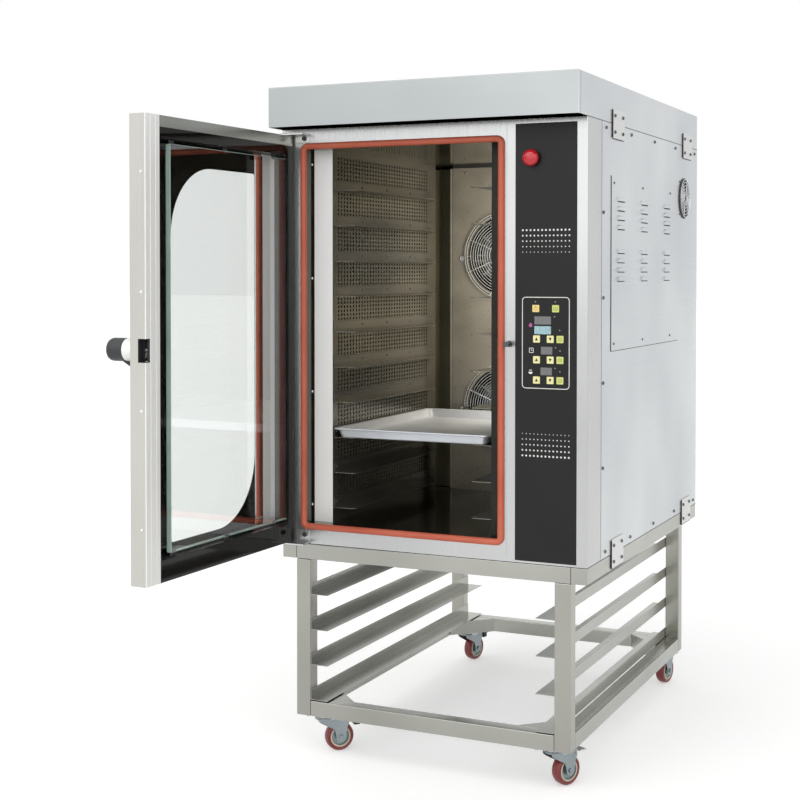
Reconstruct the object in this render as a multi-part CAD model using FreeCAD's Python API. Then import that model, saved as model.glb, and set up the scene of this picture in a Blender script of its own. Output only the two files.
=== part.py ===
"""Bakery convection oven on a wheeled tray stand, as an assembly of separate pieces.

Millimetres, +Z up from the floor, +X to the right of someone facing the door, -Y towards them.
The origin is on the floor under the middle of the casing. The door stands open at rest.
"""
import FreeCAD
import Part
import math
import os

V = FreeCAD.Vector
X_AXIS = V(1, 0, 0)
Y_AXIS = V(0, 1, 0)
Z_AXIS = V(0, 0, 1)

# Sheet, tube and general clearances
SHEET = 1.5
TUBE = 40.0
TUBE_WALL = 1.5
RUNNING_GAP = 0.05
SEAT_GAP = 0.3

# Baking chamber: the tray bay between the air ducts, and the rails in it
TRAY_BAY_WIDTH = 434.0
DUCT_WIDTH = 56.0
RAIL_COUNT = 10
RAIL_PITCH = 90.0
RAIL_FIRST_HEIGHT = 38.0
RAIL_HEADROOM = 103.0
RAIL_LEDGE = 60.0
RAIL_UPSTAND = 25.0
RAIL_FRONT_SETBACK = 45.0
RAIL_LENGTH = 645.0
RAIL_NOSE_CUT = 14.0
DUCT_FRONT_SETBACK = 37.0
DUCT_LENGTH = 666.0
DUCT_HOLE = 6.0
DUCT_HOLE_COLUMNS = 26
DUCT_HOLE_ROWS = 3
DUCT_HOLE_STEP = 22.0
BAFFLE_SETBACK = 712.0
BAFFLE_WIDTH = 334.0
FAN_CHAMBER = 88.0
INSULATION = 40.0
MOTOR_BAY = 224.5

# Casing round the chamber
LEFT_JAMB = 70.0
LINER_STEP = 2.0
POST_COVER = 25.0
MIDDLE_POST = 42.0
PANEL_WIDTH = 153.0
RIGHT_STRIP = 26.0
SILL_HEIGHT = 52.0
LINTEL_HEIGHT = 51.0
CORNER_RETURN = 108.0
HOOD_HEIGHT = 100.0
HOOD_OVERHANG = 71.0

# Stand and castors
CASTOR_HEIGHT = 102.0
STAND_RAIL_COUNT = 4
STAND_RAIL_PITCH = 90.0
STAND_RAIL_FIRST = 2.0
STAND_RAIL_HEADROOM = 90.0
STAND_RAIL_LEDGE = 48.0
STAND_RAIL_UPSTAND = 28.0
GUSSET_LEG = 105.0
GUSSET_SHEET = 3.0
CASTOR_INSET_X = 56.0
CASTOR_INSET_Y = 50.0
CASTOR_TRAIL = 38.0
CASTOR_ANGLES = {"front_left": 46.0, "front_right": 62.0, "rear_left": 75.0, "rear_right": 78.0}
WHEEL_DIAMETER = 75.0
WHEEL_WIDTH = 26.0
WHEEL_EDGE = 7.0
HUB_RECESS = 3.0
AXLE_DIAMETER = 8.0
FORK_SHEET = 3.0
FORK_GAP = 1.5
KING_PIN = 10.0
CASTOR_PLATE = (92.0, 66.0, 4.0)
RACE_DIAMETER = 46.0
PEDAL_REACH = 36.0
PEDAL_WIDTH = 34.0
PEDAL_PIN = 5.0
PEDAL_WHEEL_GAP = 1.4
PEDAL_RISE_ANGLE = 66.0

# Door
DOOR_OPEN_ANGLE = 91.5
DOOR_THICKNESS = 43.0
DOOR_SIDE_GAP = 2.0
DOOR_PANEL_GAP = 5.0
DOOR_BOTTOM_GAP = 5.0
DOOR_TOP_GAP = 17.0
DOOR_FREE_BAR = 53.0
DOOR_HINGE_BAR = 26.0
DOOR_RAIL = 50.0
DOOR_WALL = 1.5
TRIM_SHEET = 2.0
HINGE_TRIM = 14.0
OUTER_GLASS = 6.0
INNER_GLASS = 5.0
GLASS_EDGE_GAP = 10.0
INNER_GLASS_START = 12.0
INNER_GLASS_FREE_GAP = 43.0
GLASS_TAB = 20.0
HINGE_PIN = 8.0
HINGE_PIN_LENGTH = 22.0
HINGE_PIN_INSET = 17.0
HINGE_PIN_DEPTH = 14.4
HINGE_PLATE = 4.0
HINGE_FOOT = 38.0
HINGE_FOOT_SETBACK = 22.0
EDGE_SCREW_DEPTH = 12.0
HINGE_FOOT_HEIGHT = 34.0
SEAL_WIDTH = 16.0
SEAL_HEIGHT = 10.0
SEAL_CORNER = 20.0
SEAL_ROUND = 5.0
SEAL_LAP = 1.0
LATCH_HEIGHT_SHARE = 0.5
NOTCH = (18.0, 21.0, 52.0)
SPINDLE_INSET = 30.0
SPINDLE = 12.0
STRIKER_INSET = 9.0
STRIKER_SHANK = 7.0
STRIKER_HEAD = 13.0
CLAW_SHEET = 4.0
CLAW_DEPTH = 10.0
CLAW_LATCHED_SPAN = (-40.0, 20.0)
CLAW_TURN = 90.0
KNOB_DIAMETER = 52.0
COLLAR_LENGTH = 26.0
GRIP_LENGTH = 46.0
GRIP_ROUND = 9.0

# Controls on the right-hand panel
PANEL_SHEET = 3.0
PANEL_PROUD = 1.0
PANEL_GAP = 0.5
PANEL_FOOT = 5.5
PANEL_HEAD = 11.0
PANEL_LEDGE = 12.0
ESTOP_FROM_LEFT = 42.0
ESTOP_FROM_TOP = 82.0
ESTOP_HEAD = 40.0
ESTOP_HEAD_HEIGHT = 16.0
ESTOP_STEM = 12.0
ESTOP_SHANK = 22.0
ESTOP_COLLAR = 30.0
ESTOP_COLLAR_HEIGHT = 4.0
ESTOP_TRAVEL = 4.0
VENT_COLUMNS = 13
VENT_PITCH = 9.6
VENT_ROW_STEP = 13.0
VENT_HOLES = (5.0, 4.4, 3.8, 3.2, 2.6)
UPPER_VENT_FROM_TOP = 252.0
LOWER_VENT_FROM_TOP = 786.0
KEYPAD_SIZE = (119.0, 218.0)
KEYPAD_FROM_TOP = 409.0
KEYPAD_DEPTH = 9.0
KEY_SIZE = 17.0
KEY_GAP = 0.3
KEY_PROUD = 1.0
KEY_THICKNESS = 3.0
KEY_TRAVEL = 0.6
KEY_COLUMNS = {"power": 35.0, "light": 84.0, "up": 37.0, "down": 71.0, "set": 95.0}
KEY_ROWS = {"top": 28.0, "temperature": 100.0, "time": 149.0, "steam": 197.0}

# Casing fittings
BRACKET_SIZE = (100.0, 72.0, 3.0)
BRACKET_SETBACKS = (242.0, 940.0)
BRACKET_SCREW_INSET = 16.0
SCREW_HEAD = 9.0
SCREW_HEAD_HEIGHT = 3.0
SIDE_SCREW_SETBACK = 14.0
SIDE_SCREW_COUNT = 5
COVER_SETBACK = 185.0
COVER_SIZE = (650.0, 428.0)
COVER_TOP_DROP = 127.0
COVER_SHEET = 1.2
LOUVRE_SIZE = (64.0, 11.0, 6.0)
LOUVRE_COLUMNS = (82.0, 298.0, 528.0)
LOUVRE_ROWS = (69.0, 89.0, 109.0, 129.0, 196.0, 216.0, 236.0, 256.0)
GRILLE_SETBACK = 906.0
GRILLE_TOP_DROP = 151.0
GRILLE_DIAMETER = 116.0
GRILLE_SHEET = 2.0
GRILLE_RINGS = 4
GRILLE_BAR = 6.0
GLAND_DIAMETER = 32.0
GLAND_BORE = 18.0
GLAND_LENGTH = 34.0
GLAND_HEIGHT = 120.0
GLAND_FROM_RIGHT = 110.0

# Fans behind the baffle
FAN_PITCH = 440.0
FAN_PAIR_DROP = 8.0
FAN_MOUTH = 230.0
GUARD_RING_STEP = 17.0
GUARD_RINGS = 7
GUARD_RADIUS = 125.0
GUARD_WIRE = 3.5
GUARD_SPOKE = 4.0
GUARD_SPOKES = 8
IMPELLER_DIAMETER = 190.0
IMPELLER_WIDTH = 50.0
IMPELLER_BLADES = 10
IMPELLER_BLADE = (42.0, 2.0)
IMPELLER_DISC = 3.0
IMPELLER_HUB = 44.0
IMPELLER_GAP = 10.0
FAN_SHAFT = 14.0
SHAFT_HOLE = 40.0
SHAFT_SEAT = 60.0
MOTOR_DIAMETER = 130.0
MOTOR_LENGTH = 140.0
MOTOR_PLATE = (170.0, 4.0)
HEATER_RADIUS = 118.0
HEATER_TUBE = 9.0
HEATER_TURNS = 3
HEATER_STEP = 15.0

# Baking tray
TRAY_LENGTH = 600.0
TRAY_HEIGHT = 25.0
TRAY_SHEET = 1.2
TRAY_SIDE_GAP = 2.5
TRAY_RIM = 8.0
TRAY_TAPER = 5.0
TRAY_CORNER = 18.0
TRAY_FRONT_SETBACK = 28.0
TRAY_RAIL_INDEX = 2

# Derived plan: depth, width and height of the casing
BODY_DEPTH = BAFFLE_SETBACK + FAN_CHAMBER + SHEET + INSULATION + MOTOR_BAY
FRONT = -BODY_DEPTH / 2
BACK = FRONT + BODY_DEPTH
LINER_WIDTH = TRAY_BAY_WIDTH + 2 * DUCT_WIDTH
OPENING_WIDTH = LINER_WIDTH - POST_COVER
BODY_WIDTH = LEFT_JAMB + OPENING_WIDTH + MIDDLE_POST + PANEL_WIDTH + RIGHT_STRIP
RIGHT = BODY_WIDTH / 2
LEFT = -RIGHT
OPENING_LEFT = LEFT + LEFT_JAMB
OPENING_RIGHT = OPENING_LEFT + OPENING_WIDTH
PANEL_LEFT = OPENING_RIGHT + MIDDLE_POST
PANEL_RIGHT = PANEL_LEFT + PANEL_WIDTH
LINER_LEFT = OPENING_LEFT - LINER_STEP
LINER_RIGHT = LINER_LEFT + LINER_WIDTH
BAY_LEFT = LINER_LEFT + DUCT_WIDTH
BAY_RIGHT = LINER_RIGHT - DUCT_WIDTH
BAY_MIDDLE = (BAY_LEFT + BAY_RIGHT) / 2
LOWER_TUBE_TOP = CASTOR_HEIGHT + TUBE
STAND_RAIL_BASE = LOWER_TUBE_TOP + STAND_RAIL_FIRST
UPPER_TUBE_BOTTOM = STAND_RAIL_BASE + (STAND_RAIL_COUNT - 1) * STAND_RAIL_PITCH + STAND_RAIL_HEADROOM
BODY_BOTTOM = UPPER_TUBE_BOTTOM + TUBE
OPENING_BOTTOM = BODY_BOTTOM + SILL_HEIGHT
OPENING_HEIGHT = RAIL_FIRST_HEIGHT + (RAIL_COUNT - 1) * RAIL_PITCH + RAIL_HEADROOM
OPENING_TOP = OPENING_BOTTOM + OPENING_HEIGHT
BODY_TOP = OPENING_TOP + LINTEL_HEIGHT
HOOD_TOP = BODY_TOP + HOOD_HEIGHT
LEG_OUTER = RIGHT - TUBE
LEG_INNER = LEG_OUTER - TUBE
BAFFLE_Y = FRONT + BAFFLE_SETBACK
LINER_BACK = BAFFLE_Y + FAN_CHAMBER
MOTOR_FACE = LINER_BACK + SHEET + INSULATION
FAN_MIDDLE = (OPENING_BOTTOM + OPENING_TOP) / 2 - FAN_PAIR_DROP
FAN_HEIGHTS = {"upper": FAN_MIDDLE + FAN_PITCH / 2, "lower": FAN_MIDDLE - FAN_PITCH / 2}

# Derived door frame: s runs from the hinge end to the free edge, v from the inner face outwards
DOOR_START = LEFT + DOOR_SIDE_GAP
DOOR_WIDTH = PANEL_LEFT - DOOR_PANEL_GAP - DOOR_START
DOOR_BOTTOM = BODY_BOTTOM + DOOR_BOTTOM_GAP
DOOR_TOP = BODY_TOP - DOOR_TOP_GAP
DOOR_INNER_Y = FRONT - SEAL_HEIGHT - SEAT_GAP
HINGE_AXIS = V(DOOR_START + HINGE_PIN_INSET, DOOR_INNER_Y - HINGE_PIN_DEPTH, 0)
LATCH_Z = DOOR_BOTTOM + (DOOR_TOP - DOOR_BOTTOM) * LATCH_HEIGHT_SHARE
SPINDLE_S = DOOR_WIDTH - SPINDLE_INSET
STRIKER_S = DOOR_WIDTH - STRIKER_INSET
GLASS_BOTTOM = DOOR_BOTTOM + DOOR_RAIL
GLASS_TOP = DOOR_TOP - DOOR_RAIL
GLASS_START = DOOR_HINGE_BAR
GLASS_END = DOOR_WIDTH - DOOR_FREE_BAR

# Derived panel and keypad
PANEL_BOTTOM = BODY_BOTTOM + PANEL_FOOT
PANEL_TOP = BODY_TOP - PANEL_HEAD
PANEL_FACE = FRONT - PANEL_PROUD
PANEL_REAR = PANEL_FACE + PANEL_SHEET
KEYPAD_LEFT = PANEL_LEFT + (PANEL_WIDTH - KEYPAD_SIZE[0]) / 2
KEYPAD_TOP = PANEL_TOP - KEYPAD_FROM_TOP
ESTOP_X = PANEL_LEFT + ESTOP_FROM_LEFT
ESTOP_Z = PANEL_TOP - ESTOP_FROM_TOP
KEYS = {
    "key_power": ("power", "top"),
    "key_light": ("light", "top"),
    "key_temperature_up": ("up", "temperature"),
    "key_temperature_down": ("down", "temperature"),
    "key_temperature_set": ("set", "temperature"),
    "key_time_up": ("up", "time"),
    "key_time_down": ("down", "time"),
    "key_time_set": ("set", "time"),
    "key_steam_up": ("up", "steam"),
    "key_steam_down": ("down", "steam"),
    "key_steam_set": ("set", "steam"),
}
CASTORS = {
    "front_left": V(-LEG_OUTER + CASTOR_INSET_X, FRONT + CASTOR_INSET_Y, 0),
    "front_right": V(LEG_OUTER - CASTOR_INSET_X, FRONT + CASTOR_INSET_Y, 0),
    "rear_left": V(-LEG_OUTER + CASTOR_INSET_X, BACK - CASTOR_INSET_Y, 0),
    "rear_right": V(LEG_OUTER - CASTOR_INSET_X, BACK - CASTOR_INSET_Y, 0),
}


# Small shape helpers
def block(xs, ys, zs):
    """Box between two limits on each axis."""
    return Part.makeBox(xs[1] - xs[0], ys[1] - ys[0], zs[1] - zs[0], V(xs[0], ys[0], zs[0]))


def rod(start, end, diameter):
    """Round bar from one point to another."""
    along = end - start
    return Part.makeCylinder(diameter / 2, along.Length, start, along)


def box_tube(xs, ys, zs, along, wall):
    """Square tube open at both ends along one axis, 0 for X, 1 for Y or 2 for Z."""
    limits = [list(xs), list(ys), list(zs)]
    inner = []
    for axis, (low, high) in enumerate(limits):
        inner.append((low, high) if axis == along else (low + wall, high - wall))
    return block(*limits).cut(block(*inner))


def flat_ring(outer, inner, thickness, centre, axis):
    """Washer shape whose back face is at centre."""
    ring = Part.makeCylinder(outer / 2, thickness, centre, axis)
    return ring.cut(Part.makeCylinder(inner / 2, thickness, centre, axis))


def round_rectangle(xs, zs, radius, y):
    """Closed outline in an XZ plane with rounded corners."""
    quarter = math.sqrt(0.5) * radius
    corners = [(xs[1], zs[0], 1, -1), (xs[1], zs[1], 1, 1), (xs[0], zs[1], -1, 1), (xs[0], zs[0], -1, -1)]
    arcs = []
    for x, z, side, rise in corners:
        middle = V(x - side * radius, y, z - rise * radius)
        across = middle + V(side * radius, 0, 0)
        upright = middle + V(0, 0, rise * radius)
        bulge = middle + V(side * quarter, 0, rise * quarter)
        ends = (across, upright) if side * rise > 0 else (upright, across)
        arcs.append(Part.Arc(ends[0], bulge, ends[1]))
    edges = []
    for index, arc in enumerate(arcs):
        follower = arcs[(index + 1) % len(arcs)]
        edges.append(arc.toShape())
        edges.append(Part.LineSegment(arc.EndPoint, follower.StartPoint).toShape())
    return Part.Wire(Part.__sortEdges__(edges))


def rectangle(xs, zs, y):
    """Closed rectangular outline in an XZ plane."""
    points = [V(xs[0], y, zs[0]), V(xs[1], y, zs[0]), V(xs[1], y, zs[1]), V(xs[0], y, zs[1])]
    return Part.makePolygon(points + points[:1])


def circle_wire(centre, diameter, axis):
    """Closed round outline."""
    return Part.Wire([Part.makeCircle(diameter / 2, centre, axis)])


def pierced_plate(outline, holes, push):
    """Plate made of one outline with holes, pushed out to its thickness."""
    return Part.Face([outline] + holes).extrude(push)


def prism(points, push):
    """Straight-sided solid on a polygon."""
    return Part.Face(Part.makePolygon(points + points[:1])).extrude(push)


def left_and_right(shape):
    """A piece and its mirror image across the middle of the casing."""
    return [shape, shape.mirror(V(0, 0, 0), X_AXIS)]


def mirrored_in_bay(shape):
    """A piece and its mirror image across the middle of the tray bay."""
    return [shape, shape.mirror(V(BAY_MIDDLE, 0, 0), X_AXIS)]


def turned(shape, centre, axis, angle):
    """Copy of a shape turned about an axis."""
    copy = shape.copy()
    copy.rotate(centre, axis, angle)
    return copy


def opened(shapes):
    """Door pieces moved from the closed position to the open rest position."""
    return [turned(shape, HINGE_AXIS, Z_AXIS, -DOOR_OPEN_ANGLE) for shape in shapes]


def door_block(s, v, z):
    """Box in the closed door's own directions."""
    xs = (DOOR_START + s[0], DOOR_START + s[1])
    ys = (DOOR_INNER_Y - v[1], DOOR_INNER_Y - v[0])
    return block(xs, ys, z)


def door_point(s, v, z):
    """Point in the closed door's own directions."""
    return V(DOOR_START + s, DOOR_INNER_Y - v, z)


# Stand
def stand_frame():
    """Welded square-tube stand: upper frame, legs, lower frame and castor gussets."""
    upper = (UPPER_TUBE_BOTTOM, BODY_BOTTOM)
    lower = (CASTOR_HEIGHT, LOWER_TUBE_TOP)
    front = (FRONT, FRONT + TUBE)
    back = (BACK - TUBE, BACK)
    side = (LEG_OUTER, RIGHT)
    leg = (LEG_INNER, LEG_OUTER)
    solids = []
    solids += left_and_right(box_tube(side, (FRONT + SHEET, BACK - SHEET), upper, 1, TUBE_WALL))
    solids += left_and_right(block(side, (FRONT, FRONT + SHEET), upper))
    solids += left_and_right(block(side, (BACK - SHEET, BACK), upper))
    solids += left_and_right(box_tube(leg, (front[1], back[0]), lower, 1, TUBE_WALL))
    for run in (front, back):
        solids.append(box_tube((-LEG_OUTER, LEG_OUTER), run, upper, 0, TUBE_WALL))
        solids.append(box_tube((-LEG_INNER, LEG_INNER), run, lower, 0, TUBE_WALL))
        solids += left_and_right(box_tube(leg, run, (CASTOR_HEIGHT, UPPER_TUBE_BOTTOM), 2, TUBE_WALL))
    front_gusset = castor_gusset()
    back_gusset = front_gusset.mirror(V(0, (FRONT + BACK) / 2, 0), Y_AXIS)
    solids += left_and_right(front_gusset) + left_and_right(back_gusset)
    return solids


def castor_gusset():
    """Folded corner box over the front-left castor: two triangles joined by a slanting face."""
    corner = V(-LEG_INNER, FRONT + TUBE, CASTOR_HEIGHT)
    points = [corner, corner + V(GUSSET_LEG, 0, 0), corner + V(0, GUSSET_LEG, 0)]
    whole = prism(points, V(0, 0, TUBE))
    slant = GUSSET_SHEET * math.sqrt(2)
    inside = [point + V(0, 0, GUSSET_SHEET) for point in points]
    inside = [inside[0], inside[1] - V(slant, 0, 0), inside[2] - V(0, slant, 0)]
    return whole.cut(prism(inside, V(0, 0, TUBE - 2 * GUSSET_SHEET)))


def stand_tray_rails():
    """Folded angle rails inside the stand's legs."""
    solids = []
    run = (FRONT + SHEET, BACK - SHEET)
    for index in range(STAND_RAIL_COUNT):
        base = STAND_RAIL_BASE + index * STAND_RAIL_PITCH
        upstand = block((LEG_INNER - SHEET, LEG_INNER), run, (base, base + STAND_RAIL_UPSTAND))
        ledge = block((LEG_INNER - STAND_RAIL_LEDGE, LEG_INNER), run, (base, base + SHEET))
        solids += left_and_right(upstand.fuse(ledge).removeSplitter())
    return solids


# Castors
RACE_TOP = CASTOR_HEIGHT - CASTOR_PLATE[2]
RACE_FLOOR = RACE_TOP - 6.0
YOKE_TOP = RACE_FLOOR - SEAT_GAP
YOKE_SHEET = 4.0
FORK_INNER = WHEEL_WIDTH / 2 + FORK_GAP
FORK_OUTER = FORK_INNER + FORK_SHEET
AXLE_Z = WHEEL_DIAMETER / 2
PEDAL_FROM_AXLE = WHEEL_DIAMETER / 2 + PEDAL_PIN + PEDAL_WHEEL_GAP
PEDAL_RISE = math.radians(PEDAL_RISE_ANGLE)
PEDAL_PIVOT = V(
    CASTOR_TRAIL + PEDAL_FROM_AXLE * math.cos(PEDAL_RISE), 0,
    AXLE_Z + PEDAL_FROM_AXLE * math.sin(PEDAL_RISE),
)


def placed_castor(shape, name):
    """Turn a castor piece, drawn trailing along +X, to its rest direction under its corner."""
    copy = turned(shape, V(0, 0, 0), Z_AXIS, CASTOR_ANGLES[name])
    copy.translate(CASTORS[name])
    return copy


def castor_top_plates():
    """Fixed upper halves: mounting plate, raised race and king pin with its rivet head."""
    length, width, thickness = CASTOR_PLATE
    solids = []
    for centre in CASTORS.values():
        plate = block((-length / 2, length / 2), (-width / 2, width / 2), (RACE_TOP, RACE_TOP + thickness))
        race = Part.makeCylinder(RACE_DIAMETER / 2, RACE_TOP - RACE_FLOOR, V(0, 0, RACE_FLOOR))
        rivet_top = YOKE_TOP - YOKE_SHEET - SEAT_GAP
        pin = rod(V(0, 0, rivet_top), V(0, 0, RACE_FLOOR), KING_PIN)
        rivet = Part.makeCylinder(KING_PIN * 0.8, 3.0, V(0, 0, rivet_top - 3.0))
        whole = plate.multiFuse([race, pin, rivet]).removeSplitter()
        whole.translate(centre)
        solids.append(whole)
    return solids


def fork_cheek(y):
    """One side plate of a fork, from the yoke down and back to the axle and out to the pedal pin."""
    top = YOKE_TOP
    half_race = RACE_DIAMETER / 2
    points = [
        V(-half_race, y, top),
        V(PEDAL_PIVOT.x + PEDAL_PIN, y, top),
        V(PEDAL_PIVOT.x + PEDAL_PIN, y, PEDAL_PIVOT.z - PEDAL_PIN),
        V(CASTOR_TRAIL + AXLE_DIAMETER, y, AXLE_Z),
        V(CASTOR_TRAIL, y, AXLE_Z - AXLE_DIAMETER),
        V(CASTOR_TRAIL - AXLE_DIAMETER, y, AXLE_Z),
        V(-half_race, y, top - 2 * YOKE_SHEET),
    ]
    return prism(points, V(0, FORK_SHEET, 0))


def castor_fork(name):
    """Swivelling fork with its axle bolt and pedal pin, all turning together."""
    half_race = RACE_DIAMETER / 2
    yoke = block((-half_race, half_race), (-FORK_INNER, FORK_INNER), (YOKE_TOP - YOKE_SHEET, YOKE_TOP))
    axle_end = FORK_OUTER + 5.0
    axle = rod(V(CASTOR_TRAIL, -axle_end, AXLE_Z), V(CASTOR_TRAIL, axle_end, AXLE_Z), AXLE_DIAMETER)
    heads = []
    for side in (-1, 1):
        head_start = V(CASTOR_TRAIL, side * FORK_OUTER, AXLE_Z)
        heads.append(rod(head_start, head_start + V(0, side * 4.0, 0), AXLE_DIAMETER * 1.7))
    pin_start = V(PEDAL_PIVOT.x, -FORK_OUTER, PEDAL_PIVOT.z)
    pin = rod(pin_start, pin_start + V(0, 2 * FORK_OUTER, 0), PEDAL_PIN)
    fork = yoke.multiFuse([fork_cheek(-FORK_OUTER), fork_cheek(FORK_INNER), axle, pin] + heads)
    king_hole = rod(V(0, 0, 0), V(0, 0, CASTOR_HEIGHT), KING_PIN + 2 * RUNNING_GAP)
    return [placed_castor(fork.cut(king_hole).removeSplitter(), name)]


def castor_wheel(name):
    """Round-edged tyre on a recessed hub, bored for the axle."""
    half = WHEEL_WIDTH / 2
    centre = V(CASTOR_TRAIL, -half, AXLE_Z)
    wheel = Part.makeCylinder(AXLE_Z, WHEEL_WIDTH, centre, Y_AXIS)
    rims = [edge for edge in wheel.Edges if edge.Curve.TypeId == "Part::GeomCircle"]
    wheel = wheel.makeFillet(WHEEL_EDGE, rims)
    hub_ring = AXLE_Z * 1.2
    for start in (centre, centre + V(0, WHEEL_WIDTH - HUB_RECESS, 0)):
        wheel = wheel.cut(flat_ring(hub_ring, AXLE_DIAMETER * 2.2, HUB_RECESS, start, Y_AXIS))
    bore = rod(centre, centre + V(0, WHEEL_WIDTH, 0), AXLE_DIAMETER + 2 * RUNNING_GAP)
    return [placed_castor(wheel.cut(bore), name)]


def castor_brake(name):
    """Foot pedal hung on the fork's rear pin."""
    half = FORK_INNER - FORK_GAP
    knuckle_start = PEDAL_PIVOT - V(0, half, 0)
    knuckle = rod(knuckle_start, knuckle_start + V(0, 2 * half, 0), PEDAL_PIN * 2)
    half_pad = PEDAL_WIDTH / 2
    tip = PEDAL_PIVOT.x + PEDAL_REACH
    pad_start = PEDAL_PIVOT.x + PEDAL_PIN * 2
    level = PEDAL_PIVOT.z
    arm = block((PEDAL_PIVOT.x, pad_start + 1.0), (-half, half), (level, level + 4.0))
    pad = block((pad_start, tip), (-half_pad, half_pad), (level, level + 4.0))
    pad = pad.makeFillet(1.5, pad.Edges)
    bore = rod(knuckle_start, knuckle_start + V(0, 2 * half, 0), PEDAL_PIN + 2 * RUNNING_GAP)
    return [placed_castor(knuckle.multiFuse([arm, pad]).cut(bore).removeSplitter(), name)]


# Casing
def bottom_panel():
    """Floor sheet of the casing, resting on the stand."""
    return [block((LEFT, RIGHT), (FRONT, BACK), (BODY_BOTTOM, BODY_BOTTOM + SHEET))]


def front_frame():
    """Front face of folded sheet round the door opening and the control panel."""
    face = (FRONT, FRONT + SHEET)
    base = BODY_BOTTOM + SHEET
    solids = [
        block((LEFT, OPENING_LEFT), face, (base, BODY_TOP)),
        block((OPENING_LEFT, OPENING_RIGHT), face, (base, OPENING_BOTTOM)),
        block((OPENING_LEFT, OPENING_RIGHT), face, (OPENING_TOP, BODY_TOP)),
        block((OPENING_RIGHT, PANEL_LEFT), face, (base, BODY_TOP)),
        block((PANEL_LEFT, PANEL_RIGHT), face, (base, PANEL_BOTTOM)),
        block((PANEL_LEFT, PANEL_RIGHT), face, (PANEL_TOP, BODY_TOP)),
        block((PANEL_RIGHT, RIGHT), face, (base, BODY_TOP)),
    ]
    solids += left_and_right(block((RIGHT - SHEET, RIGHT), (face[1], FRONT + CORNER_RETURN), (base, BODY_TOP)))
    ledge = (PANEL_REAR, PANEL_REAR + SHEET)
    tall = (PANEL_BOTTOM, PANEL_TOP)
    solids.append(block((PANEL_LEFT - PANEL_LEDGE, PANEL_LEFT + PANEL_LEDGE), (face[1], ledge[1]), tall))
    solids[-1] = solids[-1].cut(block((PANEL_LEFT, PANEL_RIGHT), (face[1], PANEL_REAR), tall))
    solids.append(block((PANEL_RIGHT - PANEL_LEDGE, PANEL_RIGHT + PANEL_LEDGE), (face[1], ledge[1]), tall))
    solids[-1] = solids[-1].cut(block((PANEL_LEFT, PANEL_RIGHT), (face[1], PANEL_REAR), tall))
    return solids


def side_panels():
    """Right and left side sheets behind the corner returns; the right one has the vent hole."""
    run = (FRONT + CORNER_RETURN, BACK - SHEET)
    sheets = left_and_right(block((RIGHT - SHEET, RIGHT), run, (BODY_BOTTOM + SHEET, BODY_TOP)))
    centre = V(RIGHT - SHEET, FRONT + GRILLE_SETBACK, BODY_TOP - GRILLE_TOP_DROP)
    mouth = GRILLE_DIAMETER - 4 * GRILLE_BAR
    sheets[0] = sheets[0].cut(Part.makeCylinder(mouth / 2, SHEET, centre, X_AXIS))
    return sheets


def gland_centre():
    """Middle of the mains inlet on the back of the casing."""
    return V(RIGHT - GLAND_FROM_RIGHT, BACK, BODY_BOTTOM + GLAND_HEIGHT)


def back_panel():
    """Rear sheet with the hole for the mains inlet."""
    sheet = block((LEFT, RIGHT), (BACK - SHEET, BACK), (BODY_BOTTOM + SHEET, BODY_TOP))
    start = gland_centre() - V(0, SHEET, 0)
    return [sheet.cut(Part.makeCylinder(GLAND_DIAMETER / 2 + SEAT_GAP, SHEET, start, Y_AXIS))]


def cable_gland():
    """Mains inlet sleeve with an outer flange, left empty."""
    start = gland_centre() - V(0, GLAND_LENGTH / 2, 0)
    sleeve = flat_ring(GLAND_DIAMETER, GLAND_BORE, GLAND_LENGTH, start, Y_AXIS)
    flange = flat_ring(GLAND_DIAMETER * 1.4, GLAND_DIAMETER, 5.0, gland_centre(), Y_AXIS)
    return [sleeve.fuse(flange).removeSplitter()]


def hood_shell():
    """Closed top cover that reaches out over the door."""
    nose = FRONT - HOOD_OVERHANG
    walls = (BODY_TOP, HOOD_TOP - SHEET)
    solids = [
        block((LEFT, RIGHT), (nose, BACK), (HOOD_TOP - SHEET, HOOD_TOP)),
        block((LEFT, RIGHT), (nose, nose + SHEET), walls),
        block((LEFT, RIGHT), (BACK - SHEET, BACK), walls),
        block((LEFT + SHEET, RIGHT - SHEET), (nose + SHEET, FRONT + SHEET), (BODY_TOP, BODY_TOP + SHEET)),
    ]
    solids += left_and_right(block((RIGHT - SHEET, RIGHT), (nose + SHEET, BACK - SHEET), walls))
    return solids


def bracket_centres():
    """Places of the joining plates on the right side, at the hood seam and the stand seam."""
    places = []
    for setback in BRACKET_SETBACKS:
        for height in (BODY_TOP, BODY_BOTTOM):
            places.append(V(RIGHT, FRONT + setback, height))
    return places


def joining_brackets():
    """Flat plates that tie hood to casing and casing to stand on both sides."""
    length, height, thickness = BRACKET_SIZE
    solids = []
    for centre in bracket_centres():
        ys = (centre.y - length / 2, centre.y + length / 2)
        zs = (centre.z - height / 2, centre.z + height / 2)
        solids += left_and_right(block((RIGHT, RIGHT + thickness), ys, zs))
    return solids


def screw(seat, axis):
    """Low round screw head on a surface."""
    head = Part.makeCylinder(SCREW_HEAD / 2, SCREW_HEAD_HEIGHT, seat, axis)
    crown = [edge for edge in head.Edges if edge.CenterOfMass.distanceToPoint(seat) > SCREW_HEAD_HEIGHT * 0.9]
    rims = [edge for edge in crown if edge.Curve.TypeId == "Part::GeomCircle"]
    return head.makeFillet(SCREW_HEAD_HEIGHT * 0.6, rims)


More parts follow.
